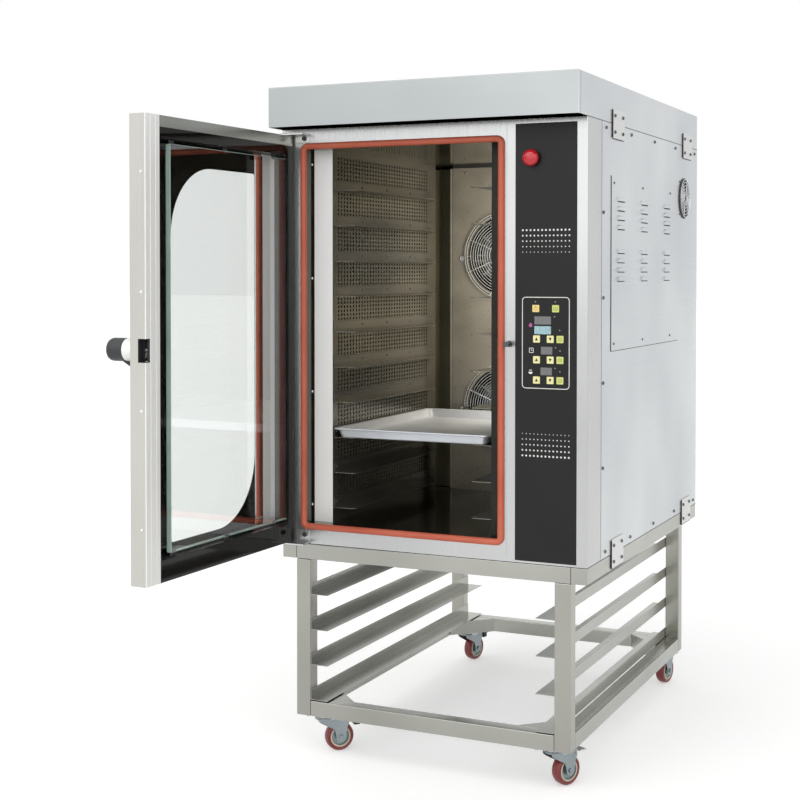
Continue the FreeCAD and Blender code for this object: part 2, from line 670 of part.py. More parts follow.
def casing_screws():
    """Screw heads of the joining plates, the side sheets and the service cover."""
    length, height, thickness = BRACKET_SIZE
    across = length / 2 - BRACKET_SCREW_INSET
    rise = height / 2 - BRACKET_SCREW_INSET
    solids = []
    for centre in bracket_centres():
        for along in (-across, across):
            for up in (-rise, rise):
                solids += left_and_right(screw(centre + V(thickness, along, up), X_AXIS))
    first = FRONT + CORNER_RETURN + SIDE_SCREW_SETBACK
    last = BACK - SIDE_SCREW_SETBACK
    low = BODY_BOTTOM + SHEET + SIDE_SCREW_SETBACK
    high = BODY_TOP - SIDE_SCREW_SETBACK
    for index in range(SIDE_SCREW_COUNT):
        share = index / (SIDE_SCREW_COUNT - 1)
        y = first + (last - first) * share
        z = low + (high - low) * share
        clear_y = all(abs(y - FRONT - setback) > length / 2 + SCREW_HEAD for setback in BRACKET_SETBACKS)
        if clear_y:
            solids += left_and_right(screw(V(RIGHT, y, low), X_AXIS))
            solids += left_and_right(screw(V(RIGHT, y, high), X_AXIS))
        if 0 < index < SIDE_SCREW_COUNT - 1:
            solids += left_and_right(screw(V(RIGHT, first, z), X_AXIS))
    return solids


def service_cover():
    """Raised cover on the right side with three columns of pressed louvres."""
    start = FRONT + COVER_SETBACK
    top = BODY_TOP - COVER_TOP_DROP
    ys = (start, start + COVER_SIZE[0])
    cover = block((RIGHT, RIGHT + COVER_SHEET), ys, (top - COVER_SIZE[1], top))
    length, height, depth = LOUVRE_SIZE
    outer = RIGHT + COVER_SHEET
    louvres = []
    for column in LOUVRE_COLUMNS:
        y = start + column - length / 2
        for row in LOUVRE_ROWS:
            z = top - row
            points = [V(outer, y, z), V(outer + depth, y, z - height), V(outer, y, z - height)]
            louvres.append(prism(points, V(0, length, 0)))
    return [cover.multiFuse(louvres).removeSplitter()]


def vent_grille():
    """Round cooling grille with arc slots."""
    centre = V(RIGHT, FRONT + GRILLE_SETBACK, BODY_TOP - GRILLE_TOP_DROP)
    disc = Part.makeCylinder(GRILLE_DIAMETER / 2, GRILLE_SHEET, centre, X_AXIS)
    step = (GRILLE_DIAMETER / 2 - 2 * GRILLE_BAR) / (GRILLE_RINGS + 0.5)
    slots = []
    for index in range(GRILLE_RINGS):
        outer = GRILLE_DIAMETER - 4 * GRILLE_BAR - 2 * step * index
        slots.append(flat_ring(outer, outer - step, GRILLE_SHEET, centre, X_AXIS))
    half = GRILLE_DIAMETER / 2
    across = (centre.y - half, centre.y + half)
    upright = (centre.z - half, centre.z + half)
    depth = (RIGHT, RIGHT + GRILLE_SHEET)
    bar = GRILLE_BAR / 2
    cross = block(depth, across, (centre.z - bar, centre.z + bar))
    cross = cross.fuse(block(depth, (centre.y - bar, centre.y + bar), upright))
    return [disc.cut(slots[0].multiFuse(slots[1:]).cut(cross))]


# Baking chamber
def shaft_passage(start_y, end_y):
    """Round passages for both fan shafts through the sheets behind the chamber."""
    passages = []
    for height in FAN_HEIGHTS.values():
        passages.append(rod(V(BAY_MIDDLE, start_y, height), V(BAY_MIDDLE, end_y, height), SHAFT_HOLE))
    return passages[0].fuse(passages[1])


def cavity_liner():
    """Inner walls of the baking chamber."""
    run = (FRONT + SHEET, LINER_BACK)
    upright = (OPENING_BOTTOM, OPENING_TOP)
    width = (LINER_LEFT - SHEET, LINER_RIGHT + SHEET)
    back = block(width, (LINER_BACK, LINER_BACK + SHEET), (OPENING_BOTTOM - SHEET, OPENING_TOP + SHEET))
    return [
        block((LINER_LEFT - SHEET, LINER_LEFT), run, upright),
        block((LINER_RIGHT, LINER_RIGHT + SHEET), run, upright),
        block(width, run, (OPENING_BOTTOM - SHEET, OPENING_BOTTOM)),
        block(width, run, (OPENING_TOP, OPENING_TOP + SHEET)),
        back.cut(shaft_passage(LINER_BACK, LINER_BACK + SHEET)),
    ]


def insulation_blanket():
    """Mineral wool slabs round the chamber."""
    run = (FRONT + SHEET, LINER_BACK + SHEET)
    upright = (OPENING_BOTTOM - SHEET, OPENING_TOP + SHEET)
    inner = (LINER_LEFT - SHEET, LINER_RIGHT + SHEET)
    outer = (LEFT + SHEET, inner[1] + INSULATION)
    right_run = (FRONT + SHEET + INSULATION, run[1])
    back = block(inner, (LINER_BACK + SHEET, MOTOR_FACE), upright)
    return [
        block((outer[0], inner[0]), run, upright),
        block((inner[1], outer[1]), right_run, upright),
        block((outer[0], inner[1]), run, (BODY_BOTTOM + SHEET, upright[0])),
        block((outer[0], inner[1]), run, (upright[1], BODY_TOP)),
        back.cut(shaft_passage(LINER_BACK, MOTOR_FACE)),
    ]


def air_duct_panels():
    """Perforated duct sheets with plain closing faces at the front, one on each side."""
    front = FRONT + DUCT_FRONT_SETBACK
    back = front + DUCT_LENGTH
    upright = (OPENING_BOTTOM, OPENING_TOP)
    closing = block((LINER_LEFT, BAY_LEFT), (front, front + SHEET), upright)
    plane = BAY_LEFT - SHEET
    corners = [(front + SHEET, upright[0]), (back, upright[0]), (back, upright[1]), (front + SHEET, upright[1])]
    points = [V(plane, y, z) for y, z in corners]
    outline = Part.makePolygon(points + points[:1])
    holes = []
    first = (front + back) / 2 - (DUCT_HOLE_COLUMNS - 1) * DUCT_HOLE_STEP / 2
    row_step = (RAIL_PITCH - RAIL_UPSTAND) / (DUCT_HOLE_ROWS + 1)
    for level in range(RAIL_COUNT):
        base = OPENING_BOTTOM + RAIL_FIRST_HEIGHT + level * RAIL_PITCH + RAIL_UPSTAND
        for row in range(1, DUCT_HOLE_ROWS + 1):
            for column in range(DUCT_HOLE_COLUMNS):
                centre = V(plane, first + column * DUCT_HOLE_STEP, base + row * row_step)
                holes.append(circle_wire(centre, DUCT_HOLE, X_AXIS))
    return mirrored_in_bay(closing) + mirrored_in_bay(pierced_plate(outline, holes, V(SHEET, 0, 0)))


def rail_top(index):
    """Height of a chamber rail's ledge, counted from the lowest rail."""
    return OPENING_BOTTOM + RAIL_FIRST_HEIGHT + index * RAIL_PITCH


def tray_rails():
    """Folded angle rails screwed to the duct sheets."""
    start = FRONT + RAIL_FRONT_SETBACK
    end = start + RAIL_LENGTH
    inner = BAY_LEFT + RAIL_LEDGE
    solids = []
    for index in range(RAIL_COUNT):
        top = rail_top(index)
        points = [
            V(BAY_LEFT, start, top - SHEET),
            V(inner - RAIL_NOSE_CUT, start, top - SHEET),
            V(inner, start + RAIL_NOSE_CUT, top - SHEET),
            V(inner, end, top - SHEET),
            V(BAY_LEFT, end, top - SHEET),
        ]
        ledge = prism(points, V(0, 0, SHEET))
        upstand = block((BAY_LEFT, BAY_LEFT + SHEET), (start, end), (top - SHEET, top + RAIL_UPSTAND))
        solids += mirrored_in_bay(ledge.fuse(upstand).removeSplitter())
    return solids


def fan_baffle():
    """Sheet in front of the fans with a round mouth for each."""
    half = BAFFLE_WIDTH / 2
    outline = rectangle((BAY_MIDDLE - half, BAY_MIDDLE + half), (OPENING_BOTTOM, OPENING_TOP), BAFFLE_Y)
    mouths = []
    for height in FAN_HEIGHTS.values():
        mouths.append(circle_wire(V(BAY_MIDDLE, BAFFLE_Y, height), FAN_MOUTH, Y_AXIS))
    return [pierced_plate(outline, mouths, V(0, SHEET, 0))]


def fan_guards():
    """Wire guards over the fan mouths: rings on radial spokes, with a middle disc."""
    spoke_y = BAFFLE_Y - GUARD_SPOKE / 2
    ring_y = spoke_y - (GUARD_SPOKE + GUARD_WIRE) / 2
    reach = GUARD_RADIUS + GUARD_RING_STEP
    hub = GUARD_RADIUS - GUARD_RING_STEP * (GUARD_RINGS - 1)
    solids = []
    for height in FAN_HEIGHTS.values():
        for index in range(GUARD_RINGS):
            radius = GUARD_RADIUS - GUARD_RING_STEP * index
            solids.append(Part.makeTorus(radius, GUARD_WIRE / 2, V(BAY_MIDDLE, ring_y, height), Y_AXIS))
        for index in range(GUARD_SPOKES):
            angle = 2 * math.pi * (index + 0.5) / GUARD_SPOKES
            outward = V(math.cos(angle), 0, math.sin(angle))
            middle = V(BAY_MIDDLE, spoke_y, height)
            solids.append(rod(middle + outward * (hub / 2), middle + outward * reach, GUARD_SPOKE))
    return solids


def fan_rotor(height):
    """Radial impeller on its motor shaft."""
    front = BAFFLE_Y + SHEET + IMPELLER_GAP
    back = front + IMPELLER_WIDTH
    axis_start = V(BAY_MIDDLE, front, height)
    disc_start = V(BAY_MIDDLE, back - IMPELLER_DISC, height)
    disc = Part.makeCylinder(IMPELLER_DIAMETER / 2, IMPELLER_DISC, disc_start, Y_AXIS)
    hub = Part.makeCylinder(IMPELLER_HUB / 2, IMPELLER_WIDTH, axis_start, Y_AXIS)
    shaft = rod(V(BAY_MIDDLE, back, height), V(BAY_MIDDLE, MOTOR_FACE + SHAFT_SEAT, height), FAN_SHAFT)
    depth, thickness = IMPELLER_BLADE
    rim = IMPELLER_DIAMETER / 2
    radial = (BAY_MIDDLE + rim - depth, BAY_MIDDLE + rim)
    blade = block(radial, (front, back), (height - thickness / 2, height + thickness / 2))
    blades = []
    for index in range(IMPELLER_BLADES):
        blades.append(turned(blade, axis_start, Y_AXIS, 360.0 * index / IMPELLER_BLADES))
    return [disc.multiFuse([hub, shaft] + blades).removeSplitter()]


def fan_motors():
    """Fan motors on flange plates behind the insulation, bored for the shafts."""
    plate, thickness = MOTOR_PLATE
    solids = []
    for height in FAN_HEIGHTS.values():
        start = V(BAY_MIDDLE, MOTOR_FACE, height)
        xs = (BAY_MIDDLE - plate / 2, BAY_MIDDLE + plate / 2)
        flange = block(xs, (MOTOR_FACE, MOTOR_FACE + thickness), (height - plate / 2, height + plate / 2))
        case = Part.makeCylinder(MOTOR_DIAMETER / 2, MOTOR_LENGTH, start, Y_AXIS)
        bore_end = start + V(0, SHAFT_SEAT + SEAT_GAP, 0)
        bore = rod(start, bore_end, FAN_SHAFT + 2 * RUNNING_GAP)
        solids.append(flange.fuse(case).cut(bore).removeSplitter())
    return solids


def heater_rings():
    """Sheathed heating rings round the impellers, each held by legs to the chamber's back wall."""
    first = BAFFLE_Y + SHEET + IMPELLER_GAP
    solids = []
    for height in FAN_HEIGHTS.values():
        rings = []
        for turn in range(HEATER_TURNS):
            centre = V(BAY_MIDDLE, first + HEATER_STEP * (turn + 0.5), height)
            rings.append(Part.makeTorus(HEATER_RADIUS, HEATER_TUBE / 2, centre, Y_AXIS))
        legs = []
        for angle in (20.0, 160.0, 270.0):
            outward = V(math.cos(math.radians(angle)), 0, math.sin(math.radians(angle)))
            start = V(BAY_MIDDLE, first, height) + outward * HEATER_RADIUS
            legs.append(rod(start, V(start.x, LINER_BACK, start.z), HEATER_TUBE * 0.8))
        solids.append(rings[0].multiFuse(rings[1:] + legs))
    return solids


# Door frame, trim and glass
def door_frame():
    """Folded tube frame with end caps, hinge bushes and tabs that carry the inner glass."""
    depth = (TRIM_SHEET, DOOR_THICKNESS)
    hinge_depth = (TRIM_SHEET + INNER_GLASS, DOOR_THICKNESS)
    wall = DOOR_WALL
    tall = (DOOR_BOTTOM + wall, DOOR_TOP - wall)
    hinge_bar = box_tube((0, DOOR_HINGE_BAR), hinge_depth, tall, 2, wall)
    free_bar = box_tube((DOOR_WIDTH - DOOR_FREE_BAR, DOOR_WIDTH), depth, tall, 2, wall)
    bars = [door_tube(hinge_bar), door_tube(free_bar)]
    bars[1] = bars[1].cut(latch_notch())
    outer_wall = door_point(SPINDLE_S, DOOR_THICKNESS - wall, LATCH_Z)
    spindle_hole = rod(outer_wall, door_point(SPINDLE_S, DOOR_THICKNESS, LATCH_Z), SPINDLE + 2 * RUNNING_GAP)
    bars[1] = bars[1].cut(spindle_hole)
    solids = bars
    for level in ((DOOR_BOTTOM, GLASS_BOTTOM), (GLASS_TOP, DOOR_TOP)):
        rail = box_tube((GLASS_START, GLASS_END), depth, level, 0, wall)
        solids.append(door_tube(rail))
    pin_axis = door_point(HINGE_PIN_INSET, HINGE_PIN_DEPTH, 0)
    pin_hole = rod(pin_axis, pin_axis + V(0, 0, HOOD_TOP), HINGE_PIN + 2 * RUNNING_GAP)
    caps = [(DOOR_BOTTOM, DOOR_BOTTOM + wall), (DOOR_TOP - wall, DOOR_TOP)]
    for cap in caps:
        solids.append(door_block((0, DOOR_HINGE_BAR), hinge_depth, cap).cut(pin_hole))
        solids.append(door_block((DOOR_WIDTH - DOOR_FREE_BAR, DOOR_WIDTH), depth, cap))
    bush = HINGE_PIN_LENGTH + HINGE_PIN
    bush_s = (wall, DOOR_HINGE_BAR - wall)
    bush_v = (hinge_depth[0] + wall, 2 * HINGE_PIN_DEPTH)
    for level in ((DOOR_BOTTOM + wall, DOOR_BOTTOM + bush), (DOOR_TOP - bush, DOOR_TOP - wall)):
        solids.append(door_block(bush_s, bush_v, level).cut(pin_hole))
    spacer_depth = (TRIM_SHEET, hinge_depth[0])
    solids.append(door_block((0, INNER_GLASS_START), spacer_depth, (DOOR_BOTTOM, DOOR_TOP)))
    return opened(solids + glass_tabs())


def door_tube(local):
    """Tube drawn with s, v and z on its axes, set into the closed door."""
    placed = local.mirror(V(0, 0, 0), Y_AXIS)
    placed.translate(V(DOOR_START, DOOR_INNER_Y, 0))
    return placed


def latch_notch():
    """Pocket in the free edge that the striker enters."""
    width, depth, height = NOTCH
    zs = (LATCH_Z - height / 2, LATCH_Z + height / 2)
    return door_block((DOOR_WIDTH - width, DOOR_WIDTH), (0, depth), zs)


def glass_tabs():
    """Small tabs on the frame behind the inner pane's upper and lower edges."""
    back = TRIM_SHEET + INNER_GLASS
    depth = (back, back + 2.0)
    reach = 2 * GLASS_EDGE_GAP
    middle = (GLASS_START + GLASS_END) / 2
    half = GLASS_TAB / 2
    tabs = []
    for share in (-0.4, 0.0, 0.4):
        s = middle + share * (GLASS_END - GLASS_START)
        tabs.append(door_block((s - half, s + half), depth, (GLASS_BOTTOM, GLASS_BOTTOM + reach)))
        tabs.append(door_block((s - half, s + half), depth, (GLASS_TOP - reach, GLASS_TOP)))
    return tabs


def door_edge_trim():
    """Flat trim strips on the door's inner border, with the screw heads of both edges."""
    depth = (0, TRIM_SHEET)
    lap_end = HINGE_TRIM
    solids = [
        door_block((0, lap_end), depth, (DOOR_BOTTOM, DOOR_TOP)),
        door_block((GLASS_END, DOOR_WIDTH), depth, (DOOR_BOTTOM, DOOR_TOP)).cut(latch_notch()),
        door_block((lap_end, GLASS_END), depth, (DOOR_BOTTOM, GLASS_BOTTOM)),
        door_block((lap_end, GLASS_END), depth, (GLASS_TOP, DOOR_TOP)),
    ]
    height = DOOR_TOP - DOOR_BOTTOM
    for share in (0.12, 0.37, 0.63, 0.88):
        seat = door_point(DOOR_WIDTH, EDGE_SCREW_DEPTH, DOOR_BOTTOM + share * height)
        solids.append(screw(seat, X_AXIS))
    return opened(solids)


def door_outer_glass():
    """Outer pane between the frame bars."""
    back = DOOR_THICKNESS - 2.0
    return opened([door_block((GLASS_START, GLASS_END), (back - OUTER_GLASS, back), (GLASS_BOTTOM, GLASS_TOP))])


def door_inner_glass():
    """Inner pane over the hinge bar, short of the free bar, held under the hinge-side trim and by the tabs."""
    gap = GLASS_EDGE_GAP
    depth = (TRIM_SHEET, TRIM_SHEET + INNER_GLASS)
    zs = (GLASS_BOTTOM + gap, GLASS_TOP - gap)
    return opened([door_block((INNER_GLASS_START, GLASS_END - INNER_GLASS_FREE_GAP), depth, zs)])


# Hinges, seal and latch
def hinge_brackets():
    """Upper and lower hinge angles with their pins, screwed to the front face."""
    pin_x = HINGE_AXIS.x
    pin_y = HINGE_AXIS.y
    foot = (pin_x + HINGE_FOOT_SETBACK, pin_x + HINGE_FOOT_SETBACK + HINGE_FOOT)
    arm_x = (DOOR_START, foot[1])
    arm_y = (pin_y - HINGE_PIN * 1.5, FRONT)
    plate = HINGE_PLATE - 1.0
    solids = []
    for edge, way in ((DOOR_TOP, 1), (DOOR_BOTTOM, -1)):
        near = edge + way * SEAT_GAP
        far = near + way * HINGE_PLATE
        seal_edge = OPENING_TOP + SEAL_WIDTH if way > 0 else OPENING_BOTTOM - SEAL_WIDTH
        foot_end = max(far - HINGE_FOOT_HEIGHT, seal_edge) if way > 0 else min(far + HINGE_FOOT_HEIGHT, seal_edge)
        arm = block(arm_x, arm_y, sorted((near, far)))
        back_plate = block(foot, (FRONT - plate, FRONT), sorted((foot_end, far)))
        pin = rod(V(pin_x, pin_y, near), V(pin_x, pin_y, near - way * HINGE_PIN_LENGTH), HINGE_PIN)
        solids.append(arm.multiFuse([back_plate, pin]).removeSplitter())
    return solids


def seal_section():
    """Section of the seal across X: flat foot on the front face and rounded crest."""
    half = SEAL_WIDTH / 2
    near = FRONT - SEAL_HEIGHT + SEAL_ROUND
    crest = FRONT - SEAL_HEIGHT
    bulge = SEAL_ROUND * (1 - math.sqrt(0.5))
    edges = [
        Part.LineSegment(V(-half, FRONT, 0), V(half, FRONT, 0)).toShape(),
        Part.LineSegment(V(half, FRONT, 0), V(half, near, 0)).toShape(),
        Part.Arc(
            V(half, near, 0), V(half - bulge, crest + bulge, 0), V(half - SEAL_ROUND, crest, 0)
        ).toShape(),
        Part.LineSegment(V(half - SEAL_ROUND, crest, 0), V(SEAL_ROUND - half, crest, 0)).toShape(),
        Part.Arc(
            V(SEAL_ROUND - half, crest, 0), V(bulge - half, crest + bulge, 0), V(-half, near, 0)
        ).toShape(),
        Part.LineSegment(V(-half, near, 0), V(-half, FRONT, 0)).toShape(),
    ]
    return Part.Face(Part.Wire(edges))


def door_seal():
    """Silicone ring round the door opening with a rounded crest."""
    offset = SEAL_WIDTH / 2 - SEAL_LAP
    bend = SEAL_CORNER - SEAL_WIDTH / 2
    xs = (OPENING_LEFT - offset, OPENING_RIGHT + offset)
    zs = (OPENING_BOTTOM - offset, OPENING_TOP + offset)
    upright = seal_section()
    level = turned(upright, V(0, 0, 0), Y_AXIS, 90)
    pieces = []
    for x in xs:
        run = upright.extrude(V(0, 0, zs[1] - zs[0] - 2 * bend))
        run.translate(V(x, 0, zs[0] + bend))
        pieces.append(run)
    for z in zs:
        run = level.extrude(V(xs[1] - xs[0] - 2 * bend, 0, 0))
        run.translate(V(xs[0] + bend, 0, z))
        pieces.append(run)
    start = upright.copy()
    start.translate(V(bend, 0, 0))
    corner = start.revolve(V(0, 0, 0), V(0, -1, 0), 90)
    centres = [
        V(xs[1] - bend, 0, zs[1] - bend),
        V(xs[0] + bend, 0, zs[1] - bend),
        V(xs[0] + bend, 0, zs[0] + bend),
        V(xs[1] - bend, 0, zs[0] + bend),
    ]
    for index, centre in enumerate(centres):
        piece = turned(corner, V(0, 0, 0), V(0, -1, 0), 90 * index)
        piece.translate(centre)
        pieces.append(piece)
    return [pieces[0].multiFuse(pieces[1:]).removeSplitter()]


def striker_pin():
    """Headed pin on the front face that the latch claw holds."""
    base = V(DOOR_START + STRIKER_S, FRONT, LATCH_Z)
    head_start = DOOR_INNER_Y - CLAW_DEPTH - CLAW_SHEET - SEAT_GAP
    foot = Part.makeCylinder(STRIKER_HEAD * 0.6, 4.0, base, V(0, -1, 0))
    shank = rod(base, V(base.x, head_start - 3.0, base.z), STRIKER_SHANK)
    head = rod(V(base.x, head_start, base.z), V(base.x, head_start - 3.0, base.z), STRIKER_HEAD)
    return [foot.multiFuse([shank, head]).removeSplitter()]


def latch_claw():
    """Spindle with a slotted hook that swings behind the striker's head."""
    reach = STRIKER_S - SPINDLE_S
    slot_half = STRIKER_SHANK / 2 + 0.5
    start = door_point(SPINDLE_S, CLAW_DEPTH, LATCH_Z)
    out = V(0, -1, 0)
    outer = reach + slot_half + 4.0
    begin, end = (math.radians(angle - CLAW_TURN) for angle in CLAW_LATCHED_SPAN)
    ray = 2 * outer
    wedge_points = [start]
    for share in (0.0, 0.5, 1.0):
        angle = begin + (end - begin) * share
        wedge_points.append(start + V(math.cos(angle) * ray, 0, math.sin(angle) * ray))
    wedge = prism(wedge_points, V(0, -CLAW_SHEET, 0))
    plate = Part.makeCylinder(outer, CLAW_SHEET, start, out).common(wedge)
    slot = flat_ring(2 * (reach + slot_half), 2 * (reach - slot_half), CLAW_SHEET, start, out)
    shut = math.radians(CLAW_LATCHED_SPAN[0] + 18.0 - CLAW_TURN)
    keep_points = [start]
    for angle in (shut, (shut + end) / 2 + 0.2, end + 0.4):
        keep_points.append(start + V(math.cos(angle) * ray, 0, math.sin(angle) * ray))
    slot = slot.common(prism(keep_points, V(0, -CLAW_SHEET, 0)))
    spindle_end = door_point(SPINDLE_S, DOOR_THICKNESS + SEAT_GAP, LATCH_Z)
    spindle = rod(start, spindle_end, SPINDLE)
    return opened([plate.cut(slot).fuse(spindle).removeSplitter()])


def door_handle():
    """Round black grip on a steel collar, with a pointer lip under the collar."""
    start = door_point(SPINDLE_S, DOOR_THICKNESS + SEAT_GAP, LATCH_Z)
    out = V(0, -1, 0)
    radius = KNOB_DIAMETER / 2
    collar = Part.makeCylinder(radius, COLLAR_LENGTH, start, out)
    grip_start = start + out * COLLAR_LENGTH
    grip = Part.makeCylinder(radius, GRIP_LENGTH, grip_start, out)
    tip = grip_start + out * GRIP_LENGTH
    rims = [edge for edge in grip.Edges if edge.CenterOfMass.distanceToPoint(tip) < 1.0]
    grip = grip.makeFillet(GRIP_ROUND, [edge for edge in rims if edge.Curve.TypeId == "Part::GeomCircle"])
    lip_half = radius * 0.35
    points = [
        start + V(-lip_half, 0, -radius + 2.0),
        start + V(-lip_half, 0, -radius - 6.0),
        start + V(-lip_half, -COLLAR_LENGTH, -radius + 2.0),
    ]
    lip = prism(points, V(2 * lip_half, 0, 0))
    return opened([collar.fuse(lip).removeSplitter(), grip])


# Controls
def vent_block(top_z, diameters, y):
    """Outlines of one block of vent holes, one diameter for each row from the top."""
    middle = (PANEL_LEFT + PANEL_RIGHT) / 2
    first = middle - (VENT_COLUMNS - 1) * VENT_PITCH / 2
    wires = []
    for row, diameter in enumerate(diameters):
        for column in range(VENT_COLUMNS):
            centre = V(first + column * VENT_PITCH, y, top_z - row * VENT_ROW_STEP)
            wires.append(circle_wire(centre, diameter, Y_AXIS))
    return wires


def control_panel():
    """Dark control plate with vent holes, the emergency stop hole and the keypad window."""
    xs = (PANEL_LEFT + PANEL_GAP, PANEL_RIGHT - PANEL_GAP)
    zs = (PANEL_BOTTOM + PANEL_GAP, PANEL_TOP - PANEL_GAP)
    holes = vent_block(PANEL_TOP - UPPER_VENT_FROM_TOP, VENT_HOLES, PANEL_FACE)
    lower_top = PANEL_TOP - LOWER_VENT_FROM_TOP + VENT_ROW_STEP * (len(VENT_HOLES) - 1)
    holes += vent_block(lower_top, VENT_HOLES[::-1], PANEL_FACE)
    holes.append(circle_wire(V(ESTOP_X, PANEL_FACE, ESTOP_Z), ESTOP_SHANK + 2 * SEAT_GAP, Y_AXIS))
    window_x = (KEYPAD_LEFT, KEYPAD_LEFT + KEYPAD_SIZE[0])
    window_z = (KEYPAD_TOP - KEYPAD_SIZE[1], KEYPAD_TOP)
    holes.append(rectangle(window_x, window_z, PANEL_FACE))
    return [pierced_plate(rectangle(xs, zs, PANEL_FACE), holes, V(0, PANEL_SHEET, 0))]


def key_centre(name):
    """Middle of a key on the keypad's face."""
    column, row = KEYS[name]
    return V(KEYPAD_LEFT + KEY_COLUMNS[column], PANEL_FACE, KEYPAD_TOP - KEY_ROWS[row])


def key_box(name, margin, ys):
    """Square block at a key's place."""
    centre = key_centre(name)
    half = KEY_SIZE / 2 + margin
    return block((centre.x - half, centre.x + half), ys, (centre.z - half, centre.z + half))


def keypad_module():
    """Keypad carrier that fills the panel's window, with a pocket for every key."""
    xs = (KEYPAD_LEFT, KEYPAD_LEFT + KEYPAD_SIZE[0])
    carrier = block(xs, (PANEL_FACE, PANEL_FACE + KEYPAD_DEPTH), (KEYPAD_TOP - KEYPAD_SIZE[1], KEYPAD_TOP))
    depth = KEY_THICKNESS - KEY_PROUD + KEY_TRAVEL + SEAT_GAP
    pockets = [key_box(name, KEY_GAP, (PANEL_FACE, PANEL_FACE + depth)) for name in KEYS]
    return [carrier.cut(pockets[0].multiFuse(pockets[1:]))]


def key(name):
    """One push key standing just proud of the keypad."""
    return [key_box(name, 0, (PANEL_FACE - KEY_PROUD, PANEL_FACE - KEY_PROUD + KEY_THICKNESS))]


def estop_body():
    """Collar and threaded shank of the emergency stop."""
    seat = V(ESTOP_X, PANEL_FACE, ESTOP_Z)
    collar = Part.makeCylinder(ESTOP_COLLAR / 2, ESTOP_COLLAR_HEIGHT, seat, V(0, -1, 0))
    shank = rod(seat, seat + V(0, 4 * ESTOP_STEM, 0), ESTOP_SHANK)
    bore_start = seat - V(0, ESTOP_COLLAR_HEIGHT, 0)
    bore_end = seat + V(0, 2 * ESTOP_STEM, 0)
    return [collar.fuse(shank).cut(rod(bore_start, bore_end, ESTOP_STEM + 2 * RUNNING_GAP)).removeSplitter()]


def estop_button():
    """Red mushroom head on its stem."""
    back = V(ESTOP_X, PANEL_FACE - ESTOP_COLLAR_HEIGHT - ESTOP_TRAVEL - SEAT_GAP, ESTOP_Z)
    head = Part.makeCylinder(ESTOP_HEAD / 2, ESTOP_HEAD_HEIGHT, back, V(0, -1, 0))
    crown = back - V(0, ESTOP_HEAD_HEIGHT, 0)
    rims = [edge for edge in head.Edges if edge.CenterOfMass.distanceToPoint(crown) < 1.0]
    rims = [edge for edge in rims if edge.Curve.TypeId == "Part::GeomCircle"]
    head = head.makeFillet(ESTOP_HEAD_HEIGHT * 0.8, rims)
    stem_end = V(ESTOP_X, PANEL_FACE + 2 * ESTOP_STEM - ESTOP_TRAVEL - 2 * SEAT_GAP, ESTOP_Z)
    return [head.fuse(rod(back, stem_end, ESTOP_STEM)).removeSplitter()]


# Tray
def tray_outline(xs, ys, radius, z):
    """Rounded rectangle in a level plane."""
    flat = round_rectangle(xs, ys, radius, 0)
    flat.rotate(V(0, 0, 0), X_AXIS, -90)
    flat.translate(V(0, 0, z))
    return flat


def baking_tray():
    """Pressed tray with leaning walls and a flat rim, standing on one pair of rails."""
    base = rail_top(TRAY_RAIL_INDEX) + SEAT_GAP
    half = TRAY_BAY_WIDTH / 2 - SHEET - TRAY_SIDE_GAP
    xs = (BAY_MIDDLE - half, BAY_MIDDLE + half)
    start = FRONT + TRAY_FRONT_SETBACK
    ys = (start, start + TRAY_LENGTH)
    rim_z = base + TRAY_HEIGHT

    def shrunk(margin, z):
        inner_x = (xs[0] + margin, xs[1] - margin)
        inner_y = (ys[0] + margin, ys[1] - margin)
        return tray_outline(inner_x, inner_y, TRAY_CORNER, z)

    outer = Part.makeLoft([shrunk(TRAY_RIM + TRAY_TAPER, base), shrunk(TRAY_RIM, rim_z)], True, True)
    wall = TRAY_RIM + TRAY_SHEET
    hollow = Part.makeLoft([shrunk(wall + TRAY_TAPER, base + TRAY_SHEET), shrunk(wall, rim_z)], True, True)
    rim = Part.Face(shrunk(0, rim_z - TRAY_SHEET)).extrude(V(0, 0, TRAY_SHEET))
    return [outer.fuse(rim).cut(hollow).removeSplitter()]


def all_nodes():
    """Every named piece of the assembly with its solids."""
    nodes = {
        "stand_frame": stand_frame(),
        "stand_tray_rails": stand_tray_rails(),
        "castor_top_plates": castor_top_plates(),
        "bottom_panel": bottom_panel(),
        "side_panels": side_panels(),
        "back_panel": back_panel(),
        "service_cover": service_cover(),
        "front_frame": front_frame(),
        "cavity_liner": cavity_liner(),
        "insulation_blanket": insulation_blanket(),
        "hood_shell": hood_shell(),
        "joining_brackets": joining_brackets(),
        "casing_screws": casing_screws(),
        "door_seal": door_seal(),
        "air_duct_panels": air_duct_panels(),
        "tray_rails": tray_rails(),
        "fan_baffle": fan_baffle(),
        "fan_guards": fan_guards(),
        "fan_motors": fan_motors(),
        "heater_rings": heater_rings(),
        "control_panel": control_panel(),
        "keypad_module": keypad_module(),
        "estop_body": estop_body(),
        "hinge_brackets": hinge_brackets(),
        "striker_pin": striker_pin(),
        "vent_grille": vent_grille(),
        "cable_gland": cable_gland(),
        "door_frame": door_frame(),
        "door_edge_trim": door_edge_trim(),
        "door_outer_glass": door_outer_glass(),
        "door_inner_glass": door_inner_glass(),
        "door_handle": door_handle(),
        "latch_claw": latch_claw(),
        "estop_button": estop_button(),
        "upper_fan": fan_rotor(FAN_HEIGHTS["upper"]),
        "lower_fan": fan_rotor(FAN_HEIGHTS["lower"]),
        "baking_tray": baking_tray(),
    }
    for corner in CASTORS:
        nodes["castor_fork_" + corner] = castor_fork(corner)
        nodes["castor_wheel_" + corner] = castor_wheel(corner)
        nodes["castor_brake_" + corner] = castor_brake(corner)
    for name in KEYS:
        nodes[name] = key(name)
    return nodes


